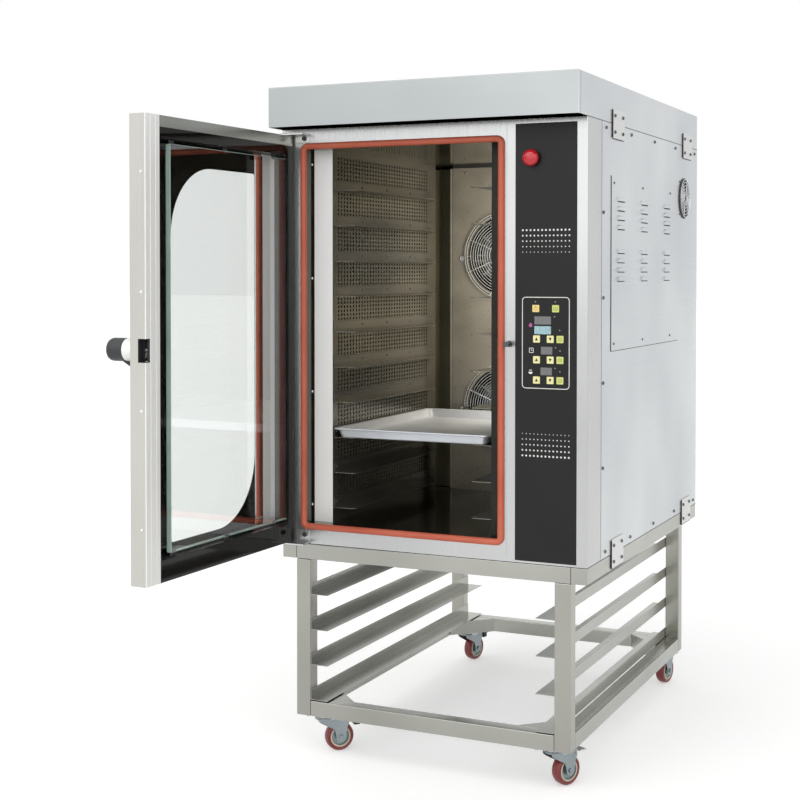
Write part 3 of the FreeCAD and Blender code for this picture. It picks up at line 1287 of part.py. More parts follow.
def main():
    os.makedirs("parts", exist_ok=True)
    for name, solids in all_nodes().items():
        shape = Part.makeCompound(solids) if len(solids) > 1 else solids[0]
        shape.exportStep("parts/" + name + ".step")


main()
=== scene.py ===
"""Bakery convection oven on a wheeled tray stand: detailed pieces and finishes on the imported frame."""
import bmesh
import bpy
import math
from mathutils import Matrix, Vector


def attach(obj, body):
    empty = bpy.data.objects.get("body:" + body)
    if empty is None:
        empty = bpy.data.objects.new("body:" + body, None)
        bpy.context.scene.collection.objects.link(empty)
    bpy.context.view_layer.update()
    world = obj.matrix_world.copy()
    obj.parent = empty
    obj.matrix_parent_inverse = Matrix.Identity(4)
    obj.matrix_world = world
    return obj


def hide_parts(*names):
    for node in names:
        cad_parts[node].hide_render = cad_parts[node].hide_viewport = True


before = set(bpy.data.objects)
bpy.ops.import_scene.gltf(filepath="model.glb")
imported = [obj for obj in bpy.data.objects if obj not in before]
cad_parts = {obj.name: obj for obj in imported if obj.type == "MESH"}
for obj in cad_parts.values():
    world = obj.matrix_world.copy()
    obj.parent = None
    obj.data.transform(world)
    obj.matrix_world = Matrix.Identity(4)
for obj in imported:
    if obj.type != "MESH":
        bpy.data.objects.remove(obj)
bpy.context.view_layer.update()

# Sizes in millimetres, as in the solids
MM = 0.001
FRONT, BACK = -533.0, 533.0
LEFT, RIGHT = -406.0, 406.0
SHEET = 1.5
BODY_BOTTOM, BODY_TOP, HOOD_TOP = 544.0, 1598.0, 1698.0
HOOD_BASE = BODY_TOP + 0.4
HOOD_NOSE = FRONT - 71.0
WALL_Z = (BODY_BOTTOM + SHEET, BODY_TOP - 0.4)
CORNER_RETURN = FRONT + 108.0
OPENING_X = (-336.0, 185.0)
OPENING_Z = (596.0, 1547.0)

# Control strip
PANEL_X = (227.0, 380.0)
PANEL_Z = (549.5, 1587.0)
PANEL_FACE = FRONT - 1.0
KEYPAD_LEFT, KEYPAD_TOP = 244.0, 1178.0
KEYPAD_SIZE = (119.0, 218.0)
KEY_COLUMNS = {"power": 35.0, "light": 84.0, "up": 37.0, "down": 71.0, "set": 95.0}
KEY_ROWS = {"top": 28.0, "temperature": 100.0, "time": 149.0, "steam": 197.0}
KEY_SIZE = 17.0
KEY_FACE = PANEL_FACE - 1.0
INK = 0.12
ESTOP = (269.0, 1505.0)

# Chamber
LINER_X = (-338.0, 208.0)
BAY_X = (-282.0, 152.0)
BAY_MIDDLE = -65.0
RAIL_PITCH = 90.0
RAIL_TOPS = [634.0 + RAIL_PITCH * level for level in range(10)]
DUCT_FRONT = FRONT + 37.0
BAFFLE_Y = FRONT + 712.0
FAN_HEIGHTS = (1283.5, 843.5)

# Stand and castors: each castor's place and the angle that it trails at
TUBE = 40.0
LEG_X = (326.0, 366.0)
FOOT_Z = 102.0
UPPER_TUBE_Z = (504.0, 544.0)
LOWER_TUBE_Z = (102.0, 142.0)
STAND_RAIL_Z = [144.0 + RAIL_PITCH * level for level in range(4)]
CASTORS = {
    "front_left": (-310.0, FRONT + 50.0, 46.0),
    "front_right": (310.0, FRONT + 50.0, 62.0),
    "rear_left": (-310.0, BACK - 50.0, 75.0),
    "rear_right": (310.0, BACK - 50.0, 78.0),
}
PLATE_Z, CROWN_Z = 98.0, (87.7, 91.4)
TRAIL, AXLE_Z = 38.0, 37.5
FORK_IN, FORK_OUT = 14.5, 17.5
PEDAL_PIVOT = (55.856, 77.605)

# Sides: joining plates on both, and on the right the louvred service cover and the cooling grille
BRACKET, BRACKET_SHEET = (100.0, 72.0), 3.0
BRACKETS = [(FRONT + setback, height) for setback in (242.0, 940.0) for height in (BODY_TOP, BODY_BOTTOM)]
COVER_Y = (FRONT + 185.0, FRONT + 835.0)
COVER_Z = (BODY_TOP - 555.0, BODY_TOP - 127.0)
COVER_FACE = RIGHT + 1.2
LOUVRE_COLUMNS = [COVER_Y[0] + across for across in (82.0, 298.0, 528.0)]
LOUVRE_ROWS = [COVER_Z[1] - down for down in (49.0, 72.0, 95.0, 118.0, 177.0, 200.0, 223.0, 246.0)]
LOUVRES = [(y, z) for y in LOUVRE_COLUMNS for z in LOUVRE_ROWS]
GRILLE = (FRONT + 906.0, 1447.0)

# Door, drawn closed: s from the hinge end, v outwards from the inner face
DOOR_START, DOOR_WIDTH = -404.0, 626.0
DOOR_Z = (549.0, 1581.0)
DOOR_INNER_Y = FRONT - 10.3
DOOR_DEPTH, TRIM_V = 43.0, (0.0, 2.0)
FREE_S = DOOR_WIDTH - 53.0
GLASS_S = (26.0, 573.0)
GLASS_Z = (599.0, 1531.0)
BORDER_V = 40.9
HOLDER_S = 84.0
LEAF_S, LEAF_Z = (122.0, 478.0), (621.0, 1479.0)
INNER_PANE_S, PANE_V = (12.0, 530.0), 7.0
HINGE = Vector((-387.0, -557.7, 0.0))
DOOR_OPEN = math.radians(91.5)
LATCH_Z = 1065.0
SPINDLE_S = 596.0
NOTCH_S, NOTCH_V, NOTCH_Z = 608.0, 21.0, (LATCH_Z - 26.0, LATCH_Z + 26.0)
HOOK_S, HOOK_V, HOOK_Z = 576.0, (9.0, 15.0), (LATCH_Z - 31.0, LATCH_Z + 31.0)


# Colour and node helpers
def linear(code):
    """Linear colour of an sRGB hex value."""
    channels = [int(code[start:start + 2], 16) / 255 for start in (1, 3, 5)]
    return tuple(c / 12.92 if c <= 0.04045 else ((c + 0.055) / 1.055) ** 2.4 for c in channels) + (1.0,)


def add(tree, kind, settings=(), links=()):
    """Add a node with its settings and incoming links."""
    node = tree.nodes.new(kind)
    for name, value in dict(settings).items():
        if isinstance(name, int) or name in node.inputs:
            node.inputs[name].default_value = value
        else:
            setattr(node, name, value)
    for name, source in dict(links).items():
        tree.links.new(source, node.inputs[name])
    return node


def new_finish(name, constants):
    """Material with constants on its shader's sockets."""
    finish = bpy.data.materials.new(name)
    finish.use_nodes = True
    tree = finish.node_tree
    tree.nodes.clear()
    shader = add(tree, "ShaderNodeBsdfPrincipled", constants)
    add(tree, "ShaderNodeOutputMaterial", links={"Surface": shader.outputs["BSDF"]})
    return finish, tree, shader


def object_pattern(tree, scale, detail=3.0):
    """Noise on object coordinates, with one scale per axis in cycles per metre."""
    coordinates = add(tree, "ShaderNodeTexCoord")
    mapping = add(tree, "ShaderNodeMapping", {"Scale": scale}, {"Vector": coordinates.outputs["Object"]})
    settings = {"Scale": 1.0, "Detail": detail, "Roughness": 0.55}
    return add(tree, "ShaderNodeTexNoise", settings, {"Vector": mapping.outputs["Vector"]}).outputs["Fac"]


# Most noise values lie between these two
NOISE_SPAN = {"From Min": 0.3, "From Max": 0.7}


def tinted(tree, shader, source, dark, pale):
    """Colour between two hex values by a noise value."""
    step = add(tree, "ShaderNodeMapRange", NOISE_SPAN, {"Value": source})
    ends = {"data_type": "RGBA", 6: linear(dark), 7: linear(pale)}
    mix = add(tree, "ShaderNodeMix", ends, {0: step.outputs["Result"]})
    tree.links.new(mix.outputs[2], shader.inputs["Base Color"])


def worn(tree, shader, source, rough, relief=0.0, depth=0.05):
    """Roughness and relief that follow the same grain."""
    span = {**NOISE_SPAN, "To Min": rough[0], "To Max": rough[1]}
    roughness = add(tree, "ShaderNodeMapRange", span, {"Value": source})
    tree.links.new(roughness.outputs["Result"], shader.inputs["Roughness"])
    if relief:
        bump = add(tree, "ShaderNodeBump", {"Strength": relief, "Distance": depth * MM}, {"Height": source})
        tree.links.new(bump.outputs["Normal"], shader.inputs["Normal"])


# Finishes
def brushed_stainless(name, dark, pale, streaks, rough, metallic=1.0, relief=0.01):
    """Sheet ground with a belt: scratches blur reflections across the grain, over clouds of half a metre."""
    finish, tree, shader = new_finish(name, {"Metallic": metallic, "Anisotropic": 0.45})
    grain = object_pattern(tree, streaks)
    cloud = object_pattern(tree, (2.2, 2.2, 1.6), 2.0)
    tinted(tree, shader, cloud, dark, pale)
    worn(tree, shader, grain, rough, relief)
    return finish


def plain_finish(name, dark, pale, grain_mm, rough, metallic=0.0, relief=0.1, coat=0.0, shine=0.5):
    """Moulded, painted or plated surface: faint grain, and slight changes of colour about 110 mm wide."""
    constants = {"Metallic": metallic, "Coat Weight": coat, "Specular IOR Level": shine}
    finish, tree, shader = new_finish(name, constants)
    cycles = 1.0 / (grain_mm * MM)
    grain = object_pattern(tree, (cycles, cycles, cycles))
    cloud = object_pattern(tree, (9.0, 9.0, 9.0), 2.0)
    tinted(tree, shader, cloud, dark, pale)
    worn(tree, shader, grain, rough, relief)
    return finish


def pane_glass(name, tint):
    """Float glass, clear and polished, with smears about 70 mm wide."""
    constants = {"Base Color": linear(tint), "Transmission Weight": 1.0, "IOR": 1.5}
    finish, tree, shader = new_finish(name, constants)
    worn(tree, shader, object_pattern(tree, (14.0, 14.0, 14.0), 2.0), (0.0, 0.02))
    return finish


def display_window(name, dark, pale, glow):
    """Display behind smoked acrylic with a speckle of 2.4 by 3.8 mm, drawn coarse so that it shows."""
    constants = {"Roughness": 0.3, "Emission Color": linear(pale), "Emission Strength": glow}
    finish, tree, shader = new_finish(name, constants)
    tinted(tree, shader, object_pattern(tree, (420.0, 420.0, 260.0), 2.0), dark, pale)
    return finish


def print_ink(name, dark, pale):
    """Screen ink: flat, even and dull."""
    return plain_finish(name, dark, pale, 2.0, (0.5, 0.6), relief=0.02)


def key_film(name, dark, pale):
    """Printed polyester film over a key: pale, even colour with a soft shine."""
    return plain_finish(name, dark, pale, 3.0, (0.4, 0.5), relief=0.03)


# Streaks 250 mm long and 1.6 mm apart. Real belt grain is far finer: it is drawn coarse so that it shows
LEVEL_GRAIN = (4.0, 4.0, 620.0)
UPRIGHT_GRAIN = (620.0, 620.0, 4.0)

# Casing sheet, belt ground: soft bright grey, reflections drawn out across the grain
STAINLESS = brushed_stainless("brushed_stainless", "#b9bdc0", "#d0d3d5", LEVEL_GRAIN, (0.27, 0.31))
# Painted shade: the hood's front, top and back take this darker copy of the casing sheet; its sides keep the
# paler one
HOOD_SHADED_STAINLESS = brushed_stainless("hood_painted_shade_stainless", "#9da1a2", "#acb0b1", LEVEL_GRAIN, (0.28, 0.33))
FRONT_STAINLESS = brushed_stainless(
    "polished_front", "#b4b5b5", "#c4c5c5", UPRIGHT_GRAIN, (0.24, 0.3), relief=0.0)
DOOR_STAINLESS = brushed_stainless("door_stainless", "#c1bfb9", "#cecdc8", UPRIGHT_GRAIN, (0.24, 0.3))
STAINLESS_UPRIGHT = brushed_stainless("upright_stainless", "#c6c7c6", "#d4d5d4", UPRIGHT_GRAIN, (0.25, 0.31))
# Satin strips, finely ground: nearly white, with no clear reflection
STILE_STAINLESS = brushed_stainless("satin_stile", "#f2f2f0", "#f8f8f6", UPRIGHT_GRAIN, (0.4, 0.48), 0.3)
SATIN_HOLDER = brushed_stainless(
    "satin_holder_strip", "#f8f4f2", "#fcf9f7", UPRIGHT_GRAIN, (0.4, 0.5), 0.0, 0.03)
# Painted light: the hinge-side duct face is near white and barely metallic, standing for the bright window it
# reflects
LIT_DUCT_FACE = brushed_stainless("painted_light_duct_face", "#f4f4f2", "#fafaf8", UPRIGHT_GRAIN, (0.35, 0.45), 0.1, 0.0)
# Stand tube, drawn and ground: darker and warmer, with sharper streaks of light
LEG_STEEL = brushed_stainless(
    "stand_leg_stainless", "#979790", "#acaba4", UPRIGHT_GRAIN, (0.2, 0.27), relief=0.03)
STAND_STEEL = brushed_stainless("stand_tube_stainless", "#9c9c96", "#b0b0aa", LEVEL_GRAIN, (0.2, 0.27))
# Chamber sheet, cold rolled: dark warm grey that mirrors the rails; the chamber's rails, baffle and duct
# sheets take darker colours as painted shade of the deep chamber
CHAMBER_STEEL = brushed_stainless(
    "chamber_stainless", "#545146", "#625f54", LEVEL_GRAIN, (0.07, 0.12), 0.85, 0.0)
RAIL_STEEL = brushed_stainless("rail_stainless", "#747168", "#848178", LEVEL_GRAIN, (0.16, 0.22), 0.8, 0.0)
BAFFLE_STEEL = plain_finish("baffle_stainless", "#76736a", "#848178", 8.0, (0.27, 0.33), 0.6, 0.0)
DUCT_STEEL = plain_finish("duct_stainless", "#7a776c", "#868378", 8.0, (0.2, 0.26), 0.8, 0.0)
# Steel dulled by heat, and steel painted dark as shade: near black to olive, almost without shine
# Painted shade: near-black steel for the other duct face and for the walls behind the duct sheets, which lie
# in shadow
SHADE_PAINTED_STEEL = plain_finish("painted_shade_steel", "#1a1912", "#24221a", 6.0, (0.55, 0.7), 0.3)
# Painted shade: dull dark olive for the baffle's return, in the shaded corner behind the baffle's edge
SHADED_RETURN_STEEL = plain_finish("painted_shade_olive_steel", "#5a5640", "#66624b", 6.0, (0.5, 0.65), 0.2)
# Painted shade: the hood's underside, plain steel in shadow, drawn near black
SHADED_SOFFIT = plain_finish("painted_shade_soffit_steel", "#2f2d24", "#3a382d", 6.0, (0.5, 0.65), 0.6)
HEATER_STEEL = plain_finish("heated_sheath", "#3a3430", "#4b443d", 5.0, (0.45, 0.6), 1.0)
# Zinc plate, bright or passivated, and a turned hub: cool grey with soft highlights
ZINC = plain_finish("bright_zinc_plate", "#b9bcbe", "#d3d5d6", 6.0, (0.22, 0.36), 1.0, 0.02)
FORK_ZINC = plain_finish("blue_zinc_plate", "#8b9498", "#9fa8ac", 6.0, (0.24, 0.34), 0.9, 0.02)
DARK_ZINC = plain_finish("dark_zinc_plate", "#505355", "#626567", 6.0, (0.26, 0.36), 0.8, 0.02)
HUB_STEEL = plain_finish("hub_steel", "#7d8b89", "#909d9b", 6.0, (0.28, 0.38), 0.7, 0.02)
# Chromed, polished and pressed metal: bright lines on wire, a mirror, a soft sheen on tray and rotors
WIRE_CHROME = plain_finish("chromed_wire", "#c9cccf", "#dfe1e3", 8.0, (0.14, 0.24), 0.8)
POLISHED_HOLDER = plain_finish("mirror_polished_steel", "#f6f6f6", "#fbfbfb", 9.0, (0.01, 0.03), 1.0, 0.0)
TRAY_METAL = plain_finish("pressed_aluminium", "#cdd1d6", "#dadde1", 5.0, (0.3, 0.42), 0.6)
ROTOR_STEEL = plain_finish("sheet_rotor_steel", "#6d7377", "#7c8286", 7.0, (0.3, 0.42), 0.5)
# Polyester film: even black with a broad, weak shine
PANEL_FILM = plain_finish("black_panel_film", "#111112", "#161617", 1.6, (0.36, 0.46), shine=0.3)
KEYPAD_FILM = plain_finish("keypad_film", "#0e0e0f", "#121213", 1.6, (0.32, 0.42), shine=0.3)
# Moulded plastic and paint: dark, with a fine texture that breaks up highlights
# Also the black of painted shadows along plate and cover edges and in the louvres' openings
BLACK_PLASTIC_AND_SHADE = plain_finish("black_plastic_and_painted_shade", "#19191a", "#212122", 1.2, (0.42, 0.55), relief=0.2)
GRIP_PLASTIC = plain_finish("moulded_grip_plastic", "#26292b", "#313537", 1.4, (0.4, 0.52), relief=0.2)
BLACK_PAINT = plain_finish("black_pedal_paint", "#17181a", "#212325", 2.0, (0.35, 0.5), relief=0.2)
MOTOR_PAINT = plain_finish("grey_motor_paint", "#3c4044", "#464a4e", 3.0, (0.45, 0.6), relief=0.25)
# Glossy plastic, rubbery silicone and polyurethane, waxy nylon: clear colour, from wet to dull
STOP_RED = plain_finish("glossy_red_plastic", "#c21622", "#cf1d2a", 4.0, (0.16, 0.24), coat=0.4)
SEAL_SILICONE = plain_finish("terracotta_silicone", "#bd5a41", "#c9674d", 3.0, (0.42, 0.56), relief=0.2)
POLYURETHANE = plain_finish("maroon_polyurethane", "#701f20", "#832a2a", 4.0, (0.3, 0.42), coat=0.2)
CREAM_NYLON = plain_finish("cream_nylon", "#cdbfa8", "#d9ccb6", 3.0, (0.4, 0.52))
# Mineral wool, felted: yellow, rough and without shine
MINERAL_WOOL = plain_finish("mineral_wool", "#b8a96c", "#cdbf83", 2.0, (0.85, 0.95), relief=0.8)
# Glass: enamel fired on it is black and smooth, its body is clear, its cut edge is pale green
BLACK_GLASS = plain_finish(
    "black_glass_border", "#100f0d", "#161512", 9.0, (0.03, 0.06), relief=0.0, shine=0.2)
CLEAR_GLASS = pane_glass("clear_float_glass", "#fbfdfc")
GLASS_EDGE = plain_finish("polished_glass_edge", "#a9c4ba", "#c3d9d0", 8.0, (0.12, 0.2), relief=0.02)
# Pale screen behind the vent holes: dull white dots
VENT_SCREEN = plain_finish("white_vent_screen", "#e9ebe6", "#f4f5f0", 2.0, (0.5, 0.6), relief=0.02)
# Inks and key films: small flat fields of clear colour on black
WHITE_INK = print_ink("white_ink", "#e6e6e0", "#f0f0ea")
BLACK_INK = print_ink("black_ink", "#141410", "#1c1c16")
OLIVE_INK = print_ink("olive_ink", "#8c9444", "#98a04e")
AMBER_INK = print_ink("amber_ink", "#c98a2e", "#d39636")
PINK_INK = print_ink("pink_ink", "#a8548c", "#b45f97")
GREY_INK = print_ink("grey_ink", "#8f9396", "#9a9ea1")
KEY_CREAM = key_film("cream_key_film", "#efe9a6", "#f4efb4")
KEY_LIME = key_film("lime_key_film", "#d3da7c", "#dbe188")
KEY_AMBER = key_film("amber_key_film", "#f3d68a", "#f7dd98")
# Display windows: dull grey when off, a soft pale blue glow when on
DISPLAY_OFF = display_window("unlit_display", "#6d6b6c", "#7c7a7b", 0.0)
DISPLAY_ON = display_window("lit_display", "#6f8d95", "#9fc0c4", 0.25)


# Mesh helpers, working in millimetres: each shape is made in a mesh of its own, then joined
def frozen(bm, name):
    """Plain mesh of a finished shape."""
    mesh = bpy.data.meshes.new(name)
    bm.to_mesh(mesh)
    bm.free()
    return mesh


def join(bm, part):
    """Move a finished shape into a larger mesh."""
    mesh = frozen(part, "shape")
    bm.from_mesh(mesh)
    bpy.data.meshes.remove(mesh)


def round_edges(part, edges, radius, segments=2):
    """Round the given edges."""
    bmesh.ops.bevel(
        part, geom=edges, offset=radius, offset_type="OFFSET", segments=segments, profile=0.5,
        affect="EDGES", clamp_overlap=True, material=-1,
    )


def thicken(part, push):
    """Push a flat sheet out to a closed solid."""
    made = bmesh.ops.extrude_face_region(part, geom=part.faces[:])["geom"]
    lifted = [item for item in made if isinstance(item, bmesh.types.BMVert)]
    bmesh.ops.translate(part, vec=Vector(push), verts=lifted)
    bmesh.ops.recalc_face_normals(part, faces=part.faces[:])


def slab(bm, xs, ys, zs, edge=0.0, segments=2):
    """Box between limits with its edges rounded."""
    limits = (xs, ys, zs)
    middle = Vector([(low + high) / 2 for low, high in limits])
    size = [high - low for low, high in limits]
    part = bmesh.new()
    bmesh.ops.create_cube(part, size=1.0, matrix=Matrix.Translation(middle) @ Matrix.Diagonal((*size, 1.0)))
    if edge:
        round_edges(part, part.edges[:], edge, segments)
    join(bm, part)


def prism(bm, points, push, edge=0.0, segments=2, only=None):
    """Straight-sided solid on a polygon; only picks the edges to round."""
    part = bmesh.new()
    part.faces.new([part.verts.new(point) for point in points])
    thicken(part, push)
    if edge:
        round_edges(part, [item for item in part.edges if only is None or only(item)], edge, segments)
    join(bm, part)


def facing(point, direction):
    """Placement at a point with Z along a direction."""
    turn = Vector(direction).to_track_quat("Z", "Y").to_matrix().to_4x4()
    return Matrix.Translation(Vector(point)) @ turn


def rod(bm, start, end, radius, end_radius=None, sides=20):
    """Round bar or cone between two points."""
    start, end = Vector(start), Vector(end)
    bmesh.ops.create_cone(
        bm, cap_ends=True, cap_tris=False, segments=sides, radius1=radius,
        radius2=radius if end_radius is None else end_radius, depth=(end - start).length,
        matrix=facing((start + end) / 2, end - start),
    )


def lathe(bm, profile, place, steps=40):
    """Turned shape: (radius, height) points spun about the place's Z axis."""
    part = bmesh.new()
    verts = [part.verts.new((radius, 0.0, height)) for radius, height in profile]
    edges = [part.edges.new(pair) for pair in zip(verts, verts[1:])]
    bmesh.ops.spin(
        part, geom=verts + edges, cent=(0, 0, 0), axis=(0, 0, 1), angle=2 * math.pi, steps=steps,
        use_merge=True,
    )
    bmesh.ops.remove_doubles(part, verts=part.verts[:], dist=0.001)
    bmesh.ops.recalc_face_normals(part, faces=part.faces[:])
    bmesh.ops.transform(part, matrix=place, verts=part.verts[:])
    join(bm, part)


def even_profile(half, middle=()):
    """Closed profile to turn, the same on both sides of its middle."""
    return [*half, *middle, *((radius, -height) for radius, height in reversed(half)), half[0]]


def hoop(bm, centre, axis, radius, wire, steps=56, sides=8):
    """Wire bent to a closed ring."""
    angles = [2 * math.pi * index / sides for index in range(sides + 1)]
    profile = [(radius + wire * math.cos(angle), wire * math.sin(angle)) for angle in angles]
    lathe(bm, profile, facing(centre, axis), steps)


def loop_edges(part, points):
    """Closed line of edges through points."""
    verts = [part.verts.new(point) for point in points]
    return [part.edges.new(pair) for pair in zip(verts, verts[1:] + verts[:1])]


def fill_between(part, loops):
    """Flat face between closed lines."""
    edges = [edge for loop in loops for edge in loop_edges(part, loop)]
    bmesh.ops.triangle_fill(part, use_beauty=True, use_dissolve=False, edges=edges)


def pierced_sheet(bm, outline, hole, push):
    """Flat sheet filled between an outline and its hole, then given its thickness."""
    part = bmesh.new()
    fill_between(part, (outline, hole))
    thicken(part, push)
    join(bm, part)


def circle_points(centre, across, up, radius, count=24, start=0.0, sweep=2 * math.pi):
    """Points round an arc in the plane of two directions."""
    centre, across, up = Vector(centre), Vector(across), Vector(up)
    steps = count if sweep >= 2 * math.pi - 0.001 else count - 1
    angles = [start + sweep * index / steps for index in range(count)]
    return [centre + (across * math.cos(angle) + up * math.sin(angle)) * radius for angle in angles]


def circle_arc(x, z, radius, start, end, count=9):
    """Flat arc points between two angles."""
    angles = [start + (end - start) * index / (count - 1) for index in range(count)]
    return [(x + radius * math.cos(angle), z + radius * math.sin(angle)) for angle in angles]


def rounded_outline(xs, zs, radii, y, count=8):
    """Rectangle in an XZ plane with a radius for each corner, from low right round by high right."""
    corners = [(xs[1], zs[0], 1, -1, -0.5), (xs[1], zs[1], 1, 1, 0.0)]
    corners += [(xs[0], zs[1], -1, 1, 0.5), (xs[0], zs[0], -1, -1, 1.0)]
    points = []
    for (x, z, side, rise, start), radius in zip(corners, radii):
        middle = (x - side * radius, y, z - rise * radius)
        points += circle_points(middle, (1, 0, 0), (0, 0, 1), radius, count, start * math.pi, math.pi / 2)
    return points


def around(middle, size):
    """Limits of a size about its middle."""
    return (middle - size / 2, middle + size / 2)


def oblong(x, z, width, height, radius, y=0.0, count=4):
    """Rectangle about a middle in an XZ plane, with equal rounded corners."""
    return rounded_outline(around(x, width), around(z, height), (radius,) * 4, y, count)


def upright(x, ys, zs):
    """Corners of a rectangle in a YZ plane."""
    return [(x, ys[0], zs[0]), (x, ys[1], zs[0]), (x, ys[1], zs[1]), (x, ys[0], zs[1])]


def stamp(bm, part, places):
    """Copies of a small finished mesh, one at each place."""
    for place in places:
        copy = part.copy()
        copy.transform(place)
        bm.from_mesh(copy)
        bpy.data.meshes.remove(copy)


def both_sides(xs):
    """The same limits on the right and on the left."""
    return (xs, (-xs[1], -xs[0]))


def skin(side, sunk, out):
    """Thin layer on the casing's left or right face."""
    return sorted((side * (RIGHT - sunk), side * (RIGHT + out)))


def piece(bm, name, finishes, node=None, body="oven", sharp=35.0):
    """Turn a mesh in millimetres into a finished object that rides on a body."""
    bmesh.ops.scale(bm, vec=(MM, MM, MM), verts=bm.verts)
    mesh = frozen(bm, name)
    mesh.shade_smooth()
    mesh.set_sharp_from_angle(angle=math.radians(sharp))
    obj = bpy.data.objects.new(name, mesh)
    bpy.context.scene.collection.objects.link(obj)
    for finish in finishes if isinstance(finishes, list) else [finishes]:
        mesh.materials.append(finish)
    weighted = obj.modifiers.new("weighted_normals", "WEIGHTED_NORMAL")
    weighted.keep_sharp = True
    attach(obj, body)
    if node:
        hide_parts(node)
    return obj


def dress(node, finish):
    """Give a carried-over solid its finish."""
    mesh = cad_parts[node].data
    mesh.materials.clear()
    mesh.materials.append(finish)


# Small shared fasteners, standing on Z
def pan_screw(radius, height):
    """Pan-head screw."""
    bm = bmesh.new()
    profile = [(radius, 0.0), (radius, height * 0.3), (radius * 0.86, height * 0.75)]
    profile += [(radius * 0.55, height), (0.0, height)]
    lathe(bm, profile, Matrix.Identity(4), 12)
    return frozen(bm, "pan_screw")


def hex_bolt(radius, height):
    """Hexagon head with a chamfered top."""
    bm = bmesh.new()
    rod(bm, (0, 0, 0), (0, 0, height * 0.8), radius, sides=6)
    rod(bm, (0, 0, height * 0.8), (0, 0, height), radius, radius * 0.82, 6)
    return frozen(bm, "hex_bolt")


PAN_SCREW = pan_screw(4.5, 3.0)
SMALL_SCREW = pan_screw(3.2, 2.0)
FLUSH_SCREW = pan_screw(3.6, 0.25)
HEX_BOLT = hex_bolt(6.5, 4.5)


# Stand
def make_stand():
    """Square-tube stand with ground corners and boxed castor corners."""
    edge, gusset = 2.5, 105.0
    ends = ((FRONT, FRONT + TUBE), (BACK - TUBE, BACK))
    bm = bmesh.new()
    for xs in both_sides((LEG_X[1], RIGHT)):
        slab(bm, xs, (FRONT, BACK), UPPER_TUBE_Z, edge)
    for ys in ends:
        slab(bm, (-LEG_X[1], LEG_X[1]), ys, UPPER_TUBE_Z, edge)
        slab(bm, (-LEG_X[0], LEG_X[0]), ys, LOWER_TUBE_Z, edge)
    for xs in both_sides(LEG_X):
        slab(bm, xs, (FRONT + TUBE, BACK - TUBE), LOWER_TUBE_Z, edge)
    for side in (-1, 1):
        for y, way in ((FRONT + TUBE, 1), (BACK - TUBE, -1)):
            x = side * LEG_X[0]
            points = [(x, y, FOOT_Z), (x - side * gusset, y, FOOT_Z), (x, y + way * gusset, FOOT_Z)]
            prism(bm, points, (0, 0, TUBE), 1.2)
    piece(bm, "stand_tubes", STAND_STEEL, "stand_frame")
    bm = bmesh.new()
    for xs in both_sides(LEG_X):
        for ys in ends:
            slab(bm, xs, ys, (FOOT_Z, UPPER_TUBE_Z[0]), edge)
    piece(bm, "stand_legs", LEG_STEEL)


def make_stand_rails():
    """Folded angle rails between the stand's legs."""
    width, height = 48.0, 28.0
    bm = bmesh.new()
    for base in STAND_RAIL_Z:
        for side in (-1, 1):
            wall, inner, lip = [side * (LEG_X[0] - inset) for inset in (0.0, SHEET, width)]
            profile = [(wall, base), (wall, base + height), (inner, base + height), (inner, base + SHEET)]
            profile += [(lip, base + SHEET), (lip, base)]
            length = BACK - FRONT - 2 * SHEET
            prism(bm, [(x, FRONT + SHEET, z) for x, z in profile], (0, length, 0), 0.4, 1)
    piece(bm, "stand_rails", STAND_STEEL, "stand_tray_rails")


# Castors, drawn trailing along +X with the swivel on the Z axis
def make_castor_tops():
    """Mounting plates with rounded corners, nuts and the fixed half of each race."""
    race_z = 92.0
    race = [(0.0, race_z), (23.0, race_z), (23.0, 94.5), (20.5, PLATE_Z), (0.0, PLATE_Z)]
    king_pin_head = [(0.0, 84.0), (6.0, 84.4), (8.0, 86.0), (8.0, 87.4), (0.0, 87.4)]
    bm = bmesh.new()
    for x, y, _ in CASTORS.values():
        outline = oblong(x, y, 92.0, 66.0, 9.0, count=8)
        prism(bm, [(point.x, point.z, PLATE_Z) for point in outline], (0, 0, FOOT_Z - PLATE_Z), 0.6, 1)
        lathe(bm, race, Matrix.Translation((x, y, 0.0)))
        rod(bm, (x, y, 84.4), (x, y, race_z), 5.0)
        lathe(bm, king_pin_head, Matrix.Translation((x, y, 0.0)))
        nuts = [(x + across, y + along, PLATE_Z) for across in (-36, 36) for along in (-24, 24)]
        stamp(bm, HEX_BOLT, [facing(nut, (0, 0, -1)) for nut in nuts])
    piece(bm, "castor_plates", ZINC, "castor_top_plates")


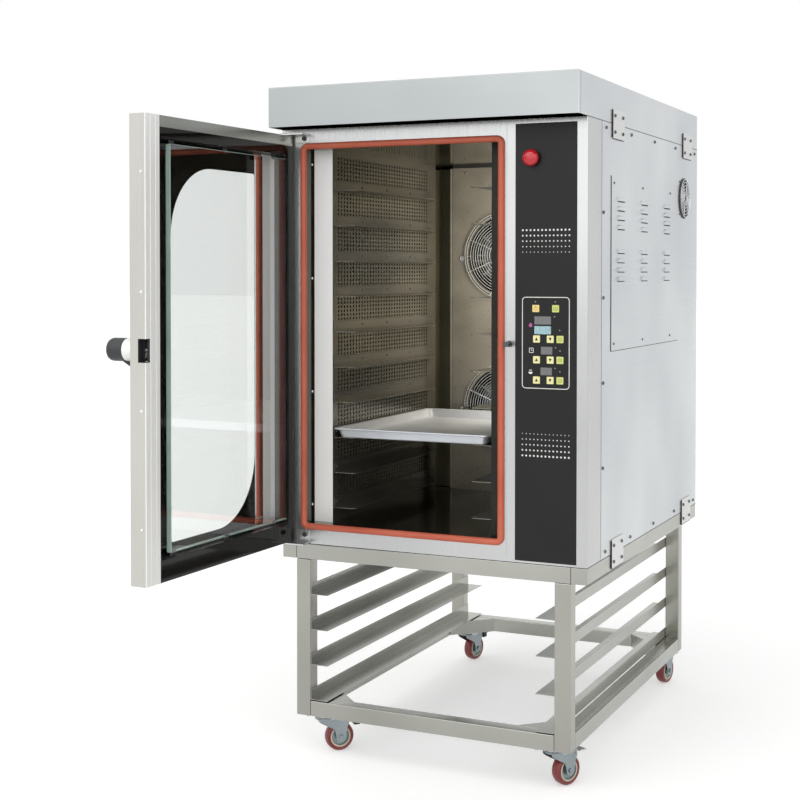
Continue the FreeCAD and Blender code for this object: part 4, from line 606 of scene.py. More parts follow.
def make_fork(corner, place):
    """Pressed fork: crown, two cheeks and bridges, with its axle, bolt heads and the pedal's pin."""
    crown = [(5.05, CROWN_Z[0]), (21.0, CROWN_Z[0]), (24.0, 86.0), (24.0, 89.0), (22.0, 91.7), (5.05, 91.7)]
    cheek = [(-22.0, 91.0), (-8.0, 91.4), (34.0, 91.4), (58.0, 84.0), (60.0, 72.0), (55.0, 60.0)]
    cheek += [(52.5, 46.0)]
    cheek += circle_arc(TRAIL, AXLE_Z, 13.5, 0.2, -math.pi - 0.2)
    cheek += [(20.0, 58.0), (-14.0, 76.0), (-22.0, 82.0)]
    bm = bmesh.new()
    lathe(bm, crown + crown[:1], Matrix.Identity(4))
    for start in (-FORK_OUT, FORK_IN):
        prism(bm, [(x, start, z) for x, z in cheek], (0, FORK_OUT - FORK_IN, 0), 0.8)
    for xs in ((-22.0, -5.2), (5.2, 32.0)):
        slab(bm, xs, (-FORK_OUT, FORK_OUT), CROWN_Z, 0.8)
    for (x, z), beyond, radius in (((TRAIL, AXLE_Z), 5.0, 4.0), (PEDAL_PIVOT, 1.5, 2.5)):
        rod(bm, (x, -FORK_OUT - beyond, z), (x, FORK_OUT + beyond, z), radius)
    stamp(bm, HEX_BOLT, [facing((TRAIL, side * FORK_OUT, AXLE_Z), (0, side, 0)) for side in (-1, 1)])
    bmesh.ops.transform(bm, matrix=place, verts=bm.verts)
    piece(bm, "fork_" + corner, FORK_ZINC, "castor_fork_" + corner, "castor_" + corner)


def make_wheel(corner, place):
    """Banded wheel: rounded tread on a pale rim round a dished hub."""
    tread = [(27.0, -11.5), (31.5, -13.0), (35.0, -11.6), (37.0, -7.5)]
    hub = [(4.05, -13.0), (8.8, -13.0), (8.8, -9.5), (12.0, -9.0), (20.5, -9.0), (22.0, -11.8), (23.6, -11.8)]
    rim = [(23.6, -12.2), (26.9, -12.2)]
    layers = (
        ("tyre_", even_profile(tread, [(37.5, 0.0)]), POLYURETHANE, "castor_wheel_" + corner),
        ("hub_", even_profile(hub), HUB_STEEL, None),
        ("rim_", even_profile(rim), CREAM_NYLON, None),
    )
    for name, profile, finish, node in layers:
        bm = bmesh.new()
        lathe(bm, profile, place @ facing((TRAIL, 0.0, AXLE_Z), (0, 1, 0)), 56)
        piece(bm, name + corner, finish, node, "wheel_" + corner)


def make_pedal(corner, place):
    """Foot brake: ribbed pedal on a knuckle; the left ones have a deep black toe."""
    x, z = PEDAL_PIVOT
    bm = bmesh.new()
    knuckle = even_profile([(2.55, -13.0), (5.0, -13.0)])
    lathe(bm, knuckle, facing((x, 0.0, z), (0, 1, 0)), 24)
    arm = [(x + 1, z + 2.6), (x + 11, z + 1.0), (x + 34, z + 1.0), (x + 36, z - 1.2), (x + 35.5, z + 3.0)]
    arm += [(x + 33, z + 4.0), (x + 12, z + 4.0), (x + 2, z + 4.8)]
    prism(bm, [(px, -13.0, pz) for px, pz in arm[:2] + arm[6:]], (0, 26.0, 0), 0.4, 1)
    prism(bm, [(px, -17.0, pz) for px, pz in arm[1:7]], (0, 34.0, 0), 0.6)
    for step in range(4):
        rib = x + 15.0 + step * 5.0
        slab(bm, (rib, rib + 1.6), (-14.0, 14.0), (z + 3.6, z + 4.6), 0.3, 1)
    left = corner.endswith("left")
    if left:
        slab(bm, (x + 20.0, x + 37.0), (-12.0, 12.0), (z - 15.0, z + 2.0), 2.5)
    bmesh.ops.transform(bm, matrix=place, verts=bm.verts)
    finish, slot = (BLACK_PAINT, "pedal_black") if left else (ZINC, "zinc")
    piece(bm, "pedal_" + corner, finish, "castor_brake_" + corner, "pedal_" + corner)


def make_castors():
    """Fork, wheel and brake under each corner."""
    for corner, (x, y, angle) in CASTORS.items():
        place = Matrix.Translation((x, y, 0.0)) @ Matrix.Rotation(math.radians(angle), 4, "Z")
        make_fork(corner, place)
        make_wheel(corner, place)
        make_pedal(corner, place)


# Casing
def make_front_frame():
    """Folded front face: corner posts with rounded folds, sill, lintel and the post beside the controls."""
    face = (FRONT, FRONT + SHEET)
    bm = bmesh.new()
    for edge_x, outer_x, side in ((OPENING_X[0], LEFT, -1), (PANEL_X[1], RIGHT, 1)):
        inner_x = outer_x - side * SHEET
        back = CORNER_RETURN - 0.6
        points = [(edge_x, face[0]), (outer_x, face[0]), (outer_x, back)]
        points += [(inner_x, back), (inner_x, face[1]), (edge_x, face[1])]

        def is_fold(edge, fold=outer_x):
            return all(abs(v.co.x - fold) < 0.01 and abs(v.co.y - FRONT) < 0.01 for v in edge.verts)

        prism(bm, [(x, y, WALL_Z[0]) for x, y in points], (0, 0, WALL_Z[1] - WALL_Z[0]), 3.0, 4, is_fold)
    for xs, zs in ((OPENING_X, OPENING_Z), (PANEL_X, PANEL_Z)):
        slab(bm, xs, face, (WALL_Z[0], zs[0]))
        slab(bm, xs, face, (zs[1], WALL_Z[1]))
    slab(bm, (OPENING_X[1], PANEL_X[0]), face, WALL_Z)
    slab(bm, (204.0, 206.0), (FRONT - 0.8, FRONT + 0.4), (560.0, 1590.0), 0.3, 1)
    ledge = 12.0
    for x in (PANEL_X[0], PANEL_X[1] - ledge):
        slab(bm, (x, x + ledge), (FRONT + 2.0, FRONT + 3.5), PANEL_Z)
    piece(bm, "front_face", FRONT_STAINLESS, "front_frame")


def make_side_sheets():
    """Side sheets with eased edges at the seams; the right one has the grille's mouth."""
    ys = (CORNER_RETURN + 0.6, BACK - SHEET)
    x = RIGHT - SHEET
    bm = bmesh.new()
    slab(bm, (LEFT, LEFT + SHEET), ys, WALL_Z, 0.6)
    mouth = circle_points((x, *GRILLE), (0, 1, 0), (0, 0, 1), 46.0, 32)
    pierced_sheet(bm, upright(x, ys, WALL_Z), mouth, (SHEET, 0, 0))
    piece(bm, "side_sheets", STAINLESS, "side_panels")


def make_hood():
    """Hood of folded sheet: rounded folds outside, a return lip below and a recessed soffit over the door,
    the soffit painted near black as shade, and the front, top and back a darker copy of the sheet than the
    sides, as painted shade.
    """
    def not_below(edge):
        return not all(abs(vert.co.z - HOOD_BASE) < 0.01 for vert in edge.verts)

    bm = bmesh.new()
    lip_width, recess = 9.0, 26.0
    corners = ((LEFT, HOOD_NOSE), (RIGHT, HOOD_NOSE), (RIGHT, BACK), (LEFT, BACK))
    prism(bm, [(*corner, HOOD_BASE) for corner in corners], (0, 0, HOOD_TOP - HOOD_BASE), 2.2, 3, not_below)
    soffit = [face for face in bm.faces if face.normal.z < -0.9]
    lip = bmesh.ops.inset_region(bm, faces=soffit, thickness=lip_width, depth=0.0)
    bmesh.ops.translate(bm, vec=(0, 0, recess), verts=list({v for face in soffit for v in face.verts}))
    # The recessed soffit and its walls take the near-black soffit steel: painted shade under the hood
    for face in soffit + lip["faces"]:
        face.material_index = 1 if face in soffit or abs(face.normal.z) < 0.5 else 0
    # The sides take the paler casing sheet and the rest the darker copy: painted shade on the hood's front
    for face in bm.faces:
        if abs(face.normal.x) > 0.7 and face.material_index == 0:
            face.material_index = 2
    piece(bm, "hood", [HOOD_SHADED_STAINLESS, SHADED_SOFFIT, STAINLESS], "hood_shell")
    bm = bmesh.new()
    for side in (-1, 1):
        seam_y = (HOOD_NOSE + 14.0, HOOD_NOSE + 14.8)
        slab(bm, skin(side, 0.2, 0.1), seam_y, (BODY_TOP + 3.0, HOOD_TOP - 4.0))
    piece(bm, "hood_corner_seams", BLACK_PLASTIC_AND_SHADE)


def make_brackets():
    """Joining plates with rounded corners."""
    bm = bmesh.new()
    for y, z in BRACKETS:
        for x in (RIGHT, LEFT - BRACKET_SHEET):
            outline = oblong(y, z, *BRACKET, 5.0, count=5)
            prism(bm, [(x, point.x, point.z) for point in outline], (BRACKET_SHEET, 0, 0), 0.6, 1)
    piece(bm, "joining_plates", STAINLESS_UPRIGHT, "joining_brackets")


def make_seams():
    """Narrow dark gaps between the sheets, and painted shadows along the near edges of joining plates and
    cover.
    """
    shade = 1.4
    stand_seam = (BODY_BOTTOM - 1.0, BODY_BOTTOM + 0.8)
    bm = bmesh.new()
    for side in (-1, 1):
        thin = skin(side, 0.1, 0.25)
        slab(bm, thin, (FRONT, BACK), (BODY_TOP - 0.8, BODY_TOP + 1.0))
        slab(bm, thin, (FRONT, BACK), stand_seam)
        slab(bm, thin, (CORNER_RETURN - 0.7, CORNER_RETURN + 0.7), (BODY_BOTTOM + 2.0, BODY_TOP - 1.0))
        proud = skin(side, 0.0, BRACKET_SHEET + 0.05)
        for y, z in BRACKETS:
            near, low = y - BRACKET[0] / 2, z - BRACKET[1] / 2
            # Painted shadows: black strips along each plate's front and lower edges
            slab(bm, proud, (near - shade, near), around(z, BRACKET[1] - 4.0))
            slab(bm, proud, around(y, BRACKET[0] - 8.0), (low - 1.0, low))
    slab(bm, (LEFT, RIGHT), (FRONT - 0.25, FRONT + 0.1), stand_seam)
    # Painted shadows along the cover's front and lower edges
    proud = (RIGHT, COVER_FACE + 0.05)
    slab(bm, proud, (COVER_Y[0] - shade, COVER_Y[0]), COVER_Z)
    slab(bm, proud, COVER_Y, (COVER_Z[0] - shade, COVER_Z[0]))
    piece(bm, "sheet_gaps_and_painted_shadows", BLACK_PLASTIC_AND_SHADE)


def make_casing_screws():
    """Pan-head screws of plates and seams on both sides, small ones on service cover and grille."""
    lowest, rise = 559.5, 204.9
    plate_x = RIGHT + BRACKET_SHEET
    heads = [(plate_x, y + dy, z + dz) for y, z in BRACKETS for dy in (-34.0, 34.0) for dz in (-20.0, 20.0)]
    for setback in (144.0, 363.0, 587.0, 809.0, 1034.0):
        heads += [(RIGHT, FRONT + setback, z) for z in (1584.0, lowest)]
    heads += [(RIGHT, FRONT + 122.0, lowest + step * rise) for step in range(1, 5)]
    bm = bmesh.new()
    for x, y, z in heads:
        stamp(bm, PAN_SCREW, [facing((side * x, y, z), (side, 0, 0)) for side in (1, -1)])
    small = [(COVER_FACE, FRONT + setback, z) for setback in (207.0, 467.0, 748.0) for z in (1454.0, 1060.0)]
    small += [(RIGHT, GRILLE[0] + dy, GRILLE[1] + dz) for dy in (-46.0, 46.0) for dz in (-46.0, 46.0)]
    stamp(bm, SMALL_SCREW, [facing(point, (1, 0, 0)) for point in small])
    piece(bm, "casing_screw_heads", DARK_ZINC, "casing_screws")


def make_service_cover():
    """Louvred cover: a plain plate with pressed louvres; beneath each, a black strip of painted shade stands
    for its opening along the lower edge.
    """
    hood = [(0.0, 0.0), (3.2, 3.6), (5.2, 8.0), (5.6, 11.0), (4.6, 11.0), (4.0, 8.0), (2.0, 4.4), (0.0, 2.0)]
    cheek = [(0.0, 0.0), (3.2, 3.6), (5.4, 11.0), (0.0, 11.0)]
    width, wall = 64.0, 1.0
    bm = bmesh.new()
    slab(bm, (RIGHT, COVER_FACE), COVER_Y, COVER_Z, 0.5)
    for y, z in LOUVRES:
        near, far = around(y, width)
        prism(bm, [(COVER_FACE + out, near, z - down) for out, down in hood], (0, width, 0), 0.5, 1)
        for end in (near, far - wall):
            prism(bm, [(COVER_FACE + out, end, z - down) for out, down in cheek], (0, wall, 0))
    piece(bm, "louvred_cover", STAINLESS, "service_cover")
    bm = bmesh.new()
    # Black strips of painted shade under the louvres, for their openings
    for y, z in LOUVRES:
        slab(bm, (COVER_FACE - 0.1, COVER_FACE + 0.3), around(y, width - 3.0), (z - 13.6, z - 2.4))
    piece(bm, "louvre_shadows", BLACK_PLASTIC_AND_SHADE)


def make_grille_rings():
    """Pale wire rings and spokes over the cooling grille."""
    wire = 0.9
    centre = Vector((RIGHT + 5.4, *GRILLE))
    bm = bmesh.new()
    for radius in (10.0, 19.0, 28.0, 37.0, 46.0, 54.0):
        hoop(bm, centre, (1, 0, 0), radius, wire, 48, 6)
    for index in range(6):
        angle = math.pi * index / 3 + 0.2
        reach = Vector((0.0, math.cos(angle), math.sin(angle)))
        rod(bm, centre + reach * 9.0, centre + reach * 54.0, wire, sides=8)
    piece(bm, "grille_rings", WIRE_CHROME)


# Baking chamber
def perforated_field(plane, pitch, rise, columns, rows):
    """Block of round holes, repeated from one cell. The real holes are finer and would not show."""
    bm = bmesh.new()
    hole = circle_points((plane, pitch / 2, rise / 2), (0, 1, 0), (0, 0, 1), 3.9, 8, 0.39)
    fill_between(bm, (upright(plane, (0.0, pitch), (0.0, rise)), hole))
    for move, count in (((0, pitch, 0), columns - 1), ((0, 0, rise), rows - 1)):
        bmesh.ops.spin(
            bm, geom=bm.verts[:] + bm.edges[:] + bm.faces[:], cent=(0, 0, 0), axis=(0, 0, 1), dvec=move,
            angle=0.0, steps=count, use_duplicate=True,
        )
        bmesh.ops.remove_doubles(bm, verts=bm.verts, dist=0.01)
    bmesh.ops.recalc_face_normals(bm, faces=bm.faces)
    return frozen(bm, "perforated_field")


def make_duct_panels():
    """Perforated duct sheets on both sides: a field of holes over each rail, plain sheet between."""
    pitch, rise, columns, rows = 17.0, 10.4, 34, 6
    plane = BAY_X[0] - SHEET
    holes_y = (FRONT + 68.0, FRONT + 68.0 + columns * pitch)
    field_z = [top + 25.6 for top in RAIL_TOPS]
    plain_z = zip([OPENING_Z[0]] + [low + rows * rise for low in field_z], field_z + [OPENING_Z[1]])
    plain = [(holes_y, zs) for zs in plain_z]
    plain += [((DUCT_FRONT + SHEET, holes_y[0]), OPENING_Z), ((holes_y[1], DUCT_FRONT + 666.0), OPENING_Z)]
    mirror = Matrix.Translation((2 * BAY_MIDDLE, 0, 0)) @ Matrix.Scale(-1, 4, (1, 0, 0))
    field = perforated_field(plane, pitch, rise, columns, rows)
    for name in ("duct_sheet_left", "duct_sheet_right"):
        bm = bmesh.new()
        stamp(bm, field, [Matrix.Translation((0, holes_y[0], low)) for low in field_z])
        for ys, zs in plain:
            bm.faces.new([bm.verts.new(point) for point in upright(plane, ys, zs)])
        for face in bm.faces:
            face.normal_update()
            if face.normal.x < 0:
                face.normal_flip()
        bmesh.ops.solidify(bm, geom=bm.faces[:], thickness=SHEET)
        if name == "duct_sheet_right":
            bmesh.ops.transform(bm, matrix=mirror, verts=bm.verts)
            bmesh.ops.reverse_faces(bm, faces=bm.faces)
        piece(bm, name, DUCT_STEEL, "air_duct_panels")
    bpy.data.meshes.remove(field)


def make_duct_faces():
    """Closing faces of the ducts: painted light on the hinge side, painted shade on the other, and painted
    shade on the walls behind.
    """
    front = (DUCT_FRONT, DUCT_FRONT + SHEET)
    bm = bmesh.new()
    slab(bm, (LINER_X[0] + 5.0, BAY_X[0] + 1.0), front, OPENING_Z, 0.6)
    heads = [(LINER_X[0] + 1.6, DUCT_FRONT - 6.0, z) for z in (640.0, 930.0, 1220.0, 1510.0)]
    stamp(bm, SMALL_SCREW, [facing(head, (1, 0, 0)) for head in heads])
    piece(bm, "duct_face_painted_light", LIT_DUCT_FACE)
    # The other duct face in near-black steel: painted shade
    bm = bmesh.new()
    slab(bm, (BAY_X[1], LINER_X[1]), front, OPENING_Z, 0.6)
    piece(bm, "duct_face_painted_shade", SHADE_PAINTED_STEEL)
    bm = bmesh.new()
    # Thin near-black sheets of painted shade on the liner walls behind the perforated ducts
    for xs in ((LINER_X[0] + 0.2, LINER_X[0] + 0.8), (LINER_X[1] - 0.8, LINER_X[1] - 0.2)):
        slab(bm, xs, (front[1] + 1.0, BAFFLE_Y - 12.0), OPENING_Z)
    piece(bm, "painted_shade_behind_ducts", SHADE_PAINTED_STEEL)


def make_baffle_edges():
    """Folded lip along the baffle's hinge-side edge, the dark gap over its top, its screws, and its return
    painted dull olive as shade.
    """
    left, right = around(BAY_MIDDLE, 334.0)
    zs = (OPENING_Z[0] + 2.0, OPENING_Z[1] - 8.0)
    bm = bmesh.new()
    slab(bm, (left - 7.0, left - 2.6), (BAFFLE_Y - 4.0, BAFFLE_Y + 2.6), zs, 0.6)
    slab(bm, (left - 7.0, left + 8.0), (BAFFLE_Y + 1.5, BAFFLE_Y + 2.6), zs)
    heads = [(x, BAFFLE_Y, z) for x in (left + 42.0, BAY_MIDDLE, right - 42.0) for z in (612.0, 1526.0)]
    stamp(bm, SMALL_SCREW, [facing(head, (0, -1, 0)) for head in heads])
    piece(bm, "baffle_lip", BAFFLE_STEEL)
    bm = bmesh.new()
    slab(bm, (left, right), (BAFFLE_Y - 0.4, BAFFLE_Y + 0.2), (OPENING_Z[1] - 7.0, OPENING_Z[1]))
    piece(bm, "baffle_top_gap", BLACK_PLASTIC_AND_SHADE)
    bm = bmesh.new()
    # The return, painted dull olive as the shade in the corner behind the baffle
    slab(bm, (BAY_X[0] - 40.0, left - 6.0), (BAFFLE_Y + 24.0, BAFFLE_Y + 25.0), zs)
    piece(bm, "baffle_return", SHADED_RETURN_STEEL)


def make_tray_rails():
    """Angle rails with clipped noses, screwed to the duct sheets."""
    start, end = FRONT + 45.0, FRONT + 690.0
    bm = bmesh.new()
    for side, wall in ((1, BAY_X[0]), (-1, BAY_X[1])):
        tip, inner = wall + side * 60.0, wall + side * SHEET
        shelf = [(wall, start), (tip - side * 8.0, start), (tip, start + 8.0)]
        shelf += [(tip, end - 130.0), (wall, end)]
        for top in RAIL_TOPS:
            prism(bm, [(x, y, top - SHEET) for x, y in shelf], (0, 0, SHEET), 0.4, 1)
            slab(bm, sorted((wall, inner)), (start, end), (top - SHEET, top + 25.0), 0.4, 1)
            heads = [(inner, start + run, top + 14.0) for run in (14.0, 164.0, 316.0, 470.0, 612.0)]
            stamp(bm, SMALL_SCREW, [facing(head, (side, 0, 0)) for head in heads])
    piece(bm, "chamber_rails", RAIL_STEEL, "tray_rails")


def make_fan_guards():
    """Wire guards: close rings on spokes, two wide rings, looped feet on the baffle and a middle disc."""
    spoke_y, ring_y = BAFFLE_Y - 2.0, BAFFLE_Y - 5.4
    radii = [126.0, 119.0] + [108.0 - 7.4 * step for step in range(11)]
    foot_radius, foot_wire, foot_out = 5.5, 1.6, 137.0
    bm = bmesh.new()
    for height in FAN_HEIGHTS:
        middle = Vector((BAY_MIDDLE, spoke_y, height))
        for radius in radii:
            hoop(bm, (BAY_MIDDLE, ring_y, height), (0, 1, 0), radius, 1.1, 64, 6)
        for index in range(8):
            angle = 2 * math.pi * (index + 0.5) / 8
            out = Vector((math.cos(angle), 0, math.sin(angle)))
            rod(bm, middle + out * 30.0, middle + out * 126.0, 1.7, sides=8)
        for index in range(4):
            angle = math.pi * index / 2 + 0.06
            out = Vector((math.cos(angle), 0, math.sin(angle)))
            across = Vector((-math.sin(angle), 0, math.cos(angle)))
            for way in (-1, 1):
                foot = middle + across * (foot_radius * way)
                rod(bm, foot + out * 110.0, foot + out * 136.0, foot_wire, sides=8)
            hoop(bm, middle + out * foot_out, (0, 1, 0), foot_radius, foot_wire, 16, 6)
            stamp(bm, SMALL_SCREW, [facing(middle + out * foot_out + Vector((0, 1.9, 0)), (0, -1, 0))])
    piece(bm, "wire_guards", WIRE_CHROME, "fan_guards")
    bm = bmesh.new()
    disc = [(0.0, -1.5), (22.0, -1.5), (26.0, 0.0), (26.0, 1.5), (0.0, 1.5), (0.0, -1.5)]
    for height in FAN_HEIGHTS:
        lathe(bm, disc, facing((BAY_MIDDLE, ring_y, height), (0, -1, 0)), 32)
    piece(bm, "guard_discs", RAIL_STEEL)


def make_tray():
    """Pressed tray with leaning walls, rounded corners and a rolled rim, drawn from the rim inwards."""
    width, depth, height = 426.0, 600.0, 25.0
    middle_y = FRONT + 28.0 + depth / 2
    base = RAIL_TOPS[2] + 0.3
    rim = base + height
    steps = [(2.2, 16.0, rim - 4.2), (0.4, 17.6, rim - 3.2), (0.0, 18.0, rim - 1.6), (1.0, 17.0, rim - 0.3)]
    steps += [(3.0, 15.0, rim), (6.0, 12.0, rim - 0.2), (8.0, 16.0, rim - 1.4), (9.4, 16.0, rim - 5.0)]
    steps += [(13.0, 16.0, base + 6.0), (14.4, 15.0, base + 2.2), (17.0, 14.0, base + 0.6)]
    steps += [(21.0, 12.0, base + 0.6)]
    bm = bmesh.new()
    loops = []
    for margin, radius, z in steps:
        outline = oblong(BAY_MIDDLE, middle_y, width - 2 * margin, depth - 2 * margin, radius, count=8)
        loops.append(loop_edges(bm, [(point.x, point.z, z) for point in outline]))
    for lower, upper in zip(loops, loops[1:]):
        bmesh.ops.bridge_loops(bm, edges=lower + upper)
    bm.faces.new([edge.verts[0] for edge in loops[-1]])
    bmesh.ops.recalc_face_normals(bm, faces=bm.faces)
    obj = piece(bm, "tray", TRAY_METAL, "baking_tray", "tray", 40.0)
    wall = obj.modifiers.new("sheet_thickness", "SOLIDIFY")
    wall.thickness = 0.6 * MM
    wall.offset = 0.0
    obj.modifiers.move(1, 0)


def make_seal():
    """Moulded silicone ring with a rounded crest and a foot lip."""
    half = [(8.0, 0.0), (8.0, 3.0), (7.2, 6.4), (4.8, 9.0), (1.5, 10.0)]
    section = [(-out, height) for out, height in half] + half[::-1]
    seat, corner = 7.0, 12.0
    bm = bmesh.new()
    loops = []
    for out, height in section:
        grown = [(low - seat - out, high + seat + out) for low, high in (OPENING_X, OPENING_Z)]
        loops.append(loop_edges(bm, rounded_outline(*grown, (corner + out,) * 4, FRONT - height)))
    for lower, upper in zip(loops, loops[1:] + loops[:1]):
        bmesh.ops.bridge_loops(bm, edges=lower + upper)
    bmesh.ops.recalc_face_normals(bm, faces=bm.faces)
    piece(bm, "seal", SEAL_SILICONE, "door_seal", sharp=60.0)


# Door
def door_point(s, v, z):
    """Point from the door's own directions."""
    return (DOOR_START + s, DOOR_INNER_Y - v, z)


def door_slab(bm, s, v, z, edge=0.0, segments=2):
    """Box in the door's own directions."""
    low, high = door_point(s[0], v[1], z[0]), door_point(s[1], v[0], z[1])
    slab(bm, *zip(low, high), edge, segments)


def door_piece(bm, name, finish, node=None, body="door"):
    """Finish a shape that is drawn with the door closed, swung to its open place."""
    bmesh.ops.rotate(bm, cent=HINGE, matrix=Matrix.Rotation(-DOOR_OPEN, 3, "Z"), verts=bm.verts)
    piece(bm, name, finish, node, body)


def make_door_frame():
    """Folded door frame: slim hinge bar, wide free bar with the latch notch, and the two level bars."""
    below = [(FREE_S, DOOR_Z[0]), (DOOR_WIDTH, DOOR_Z[0]), (DOOR_WIDTH, NOTCH_Z[0]), (NOTCH_S, NOTCH_Z[0])]
    above = [(NOTCH_S, NOTCH_Z[1]), (DOOR_WIDTH, NOTCH_Z[1]), (DOOR_WIDTH, DOOR_Z[1]), (FREE_S, DOOR_Z[1])]
    pocket = [(NOTCH_S, HOOK_Z[0]), (HOOK_S, HOOK_Z[0]), (HOOK_S, HOOK_Z[1]), (NOTCH_S, HOOK_Z[1])]
    layers = ((TRIM_V[1], HOOK_V[0], []), (*HOOK_V, pocket), (HOOK_V[1], NOTCH_V, []))
    bm = bmesh.new()
    for low, high, room in layers:
        prism(bm, [door_point(s, low, z) for s, z in below + room + above], (0, low - high, 0))
    back = DOOR_INNER_Y - DOOR_DEPTH

    def on_back(edge):
        return all(abs(vert.co.y - back) < 0.01 for vert in edge.verts)

    whole = [door_point(s, NOTCH_V, z) for s, z in below[:2] + above[2:]]
    prism(bm, whole, (0, NOTCH_V - DOOR_DEPTH, 0), 2.0, 3, on_back)
    door_slab(bm, (0.0, GLASS_S[0]), (PANE_V, DOOR_DEPTH), DOOR_Z, 1.6, 3)
    door_slab(bm, (0.0, INNER_PANE_S[0]), (TRIM_V[1], PANE_V + 0.4), DOOR_Z, 0.5)
    for level in ((DOOR_Z[0], GLASS_Z[0]), (GLASS_Z[1], DOOR_Z[1])):
        door_slab(bm, (GLASS_S[0], FREE_S), (TRIM_V[1], DOOR_DEPTH), level)
    door_piece(bm, "door_shell", DOOR_STAINLESS, "door_frame")


def make_door_lining():
    """Black lining of the frame's inside and of the latch notch, with the tabs that hold the panes."""
    tab, film = (20.0, 14.0), 0.4
    inside = (GLASS_Z[0] + 0.6, GLASS_Z[1] - 0.6)
    bm = bmesh.new()
    for share in (-0.4, 0.0, 0.4):
        s = (GLASS_S[0] + GLASS_S[1]) / 2 + share * (GLASS_S[1] - GLASS_S[0])
        for level in ((GLASS_Z[0], GLASS_Z[0] + tab[1]), (GLASS_Z[1] - tab[1], GLASS_Z[1])):
            door_slab(bm, around(s, tab[0]), (PANE_V, PANE_V + 2.0), level, 0.5, 1)
    door_slab(bm, (FREE_S - 0.6, FREE_S), (PANE_V + 0.4, BORDER_V), inside)
    door_slab(bm, (GLASS_S[0], GLASS_S[0] + 0.6), (PANE_V + 0.2, BORDER_V), inside)
    door_slab(bm, (INNER_PANE_S[0] + 0.5, GLASS_S[0]), (PANE_V, PANE_V + 0.2), inside)
    for level in ((GLASS_Z[0], inside[0]), (inside[1], GLASS_Z[1])):
        door_slab(bm, GLASS_S, (PANE_V + 2.0, BORDER_V), level)
    for layer in ((TRIM_V[1], HOOK_V[0]), (HOOK_V[1], NOTCH_V)):
        door_slab(bm, (NOTCH_S, NOTCH_S + film), layer, NOTCH_Z)
    notch = (NOTCH_S, DOOR_WIDTH - 1.0)
    door_slab(bm, notch, (NOTCH_V - film, NOTCH_V), NOTCH_Z)
    for level in ((NOTCH_Z[0], NOTCH_Z[0] + film), (NOTCH_Z[1] - film, NOTCH_Z[1])):
        door_slab(bm, notch, (TRIM_V[1], NOTCH_V), level)
    door_piece(bm, "door_inner_lining", BLACK_PAINT)


def make_door_trim():
    """Inner border: grooved bright stile at the free edge, dark strips elsewhere, flush screws."""
    profile = [(0.0, 2.0), (0.0, 0.4), (0.4, 0.0), (14.0, 0.0), (15.0, 1.2), (16.0, 0.0)]
    profile += [(34.0, 0.0), (35.0, 1.2), (36.0, 0.0)]
    profile = [(FREE_S + across, v) for across, v in profile]
    whole = profile + [(DOOR_WIDTH - 1.0, 0.0), (DOOR_WIDTH, 1.0), (DOOR_WIDTH, 2.0)]
    short = [point for point in profile if point[0] < NOTCH_S] + [(NOTCH_S, 0.0), (NOTCH_S, 2.0)]
    stretches = ((DOOR_Z[0], NOTCH_Z[0], whole), (*NOTCH_Z, short), (NOTCH_Z[1], DOOR_Z[1], whole))
    bm = bmesh.new()
    for low, high, section in stretches:
        prism(bm, [door_point(s, v, low) for s, v in section], (0, 0, high - low))
    heads = [door_point(s, 0.0, 1556.0 - step * 209.0) for step in range(5) for s in (598.0, 617.0)]
    stamp(bm, FLUSH_SCREW, [facing(head, (0, 1, 0)) for head in heads])
    heads = [door_point(DOOR_WIDTH, 12.0, z) for z in (1454.0, 1193.0, 933.0, 674.0)]
    stamp(bm, SMALL_SCREW, [facing(head, (1, 0, 0)) for head in heads])
    door_piece(bm, "door_stile", STILE_STAINLESS, "door_edge_trim")
    strip = 26.0
    bright = DOOR_Z[1] - strip
    bm = bmesh.new()
    door_slab(bm, (0.0, strip), TRIM_V, (DOOR_Z[0], bright), 0.5)
    for level in ((DOOR_Z[0], GLASS_Z[0]), (GLASS_Z[1], bright)):
        door_slab(bm, (strip, FREE_S), TRIM_V, level, 0.5)
    door_piece(bm, "door_dark_border", BLACK_GLASS)
    bm = bmesh.new()
    door_slab(bm, (0.0, FREE_S), TRIM_V, (bright, DOOR_Z[1]), 0.5)
    door_piece(bm, "door_top_strip", STAND_STEEL)


def make_outer_pane():
    """Outer pane, its black enamel border round a leaf-shaped window, and two strips behind the border."""
    bm = bmesh.new()
    door_slab(bm, GLASS_S, (BORDER_V + 0.3, BORDER_V + 1.9), GLASS_Z, 0.3, 1)
    door_piece(bm, "outer_pane", CLEAR_GLASS, "door_outer_glass")
    (low_s, high_s), zs = [(low + 0.5, high - 0.5) for low, high in (GLASS_S, GLASS_Z)]
    corners = ((low_s, zs[0]), (high_s, zs[0]), (high_s, zs[1]), (low_s, zs[1]))
    leaf_x = [DOOR_START + s for s in LEAF_S]
    leaf = rounded_outline(leaf_x, LEAF_Z, (6.0, 165.0, 6.0, 165.0), DOOR_INNER_Y - BORDER_V, 20)
    bm = bmesh.new()
    pierced_sheet(bm, [door_point(s, BORDER_V, z) for s, z in corners], leaf, (0, -0.2, 0))
    door_piece(bm, "enamel_border", BLACK_GLASS)
    strips = {
        "glass_holder_satin": (GLASS_S[0] + 0.7, HOLDER_S, SATIN_HOLDER),
        "glass_holder_polished": (HOLDER_S, LEAF_S[0] - 0.5, POLISHED_HOLDER),
    }
    for name, (start, end, finish) in strips.items():
        bm = bmesh.new()
        door_slab(bm, (start, end), (BORDER_V - 0.5, BORDER_V - 0.1), zs)
        door_piece(bm, name, finish)


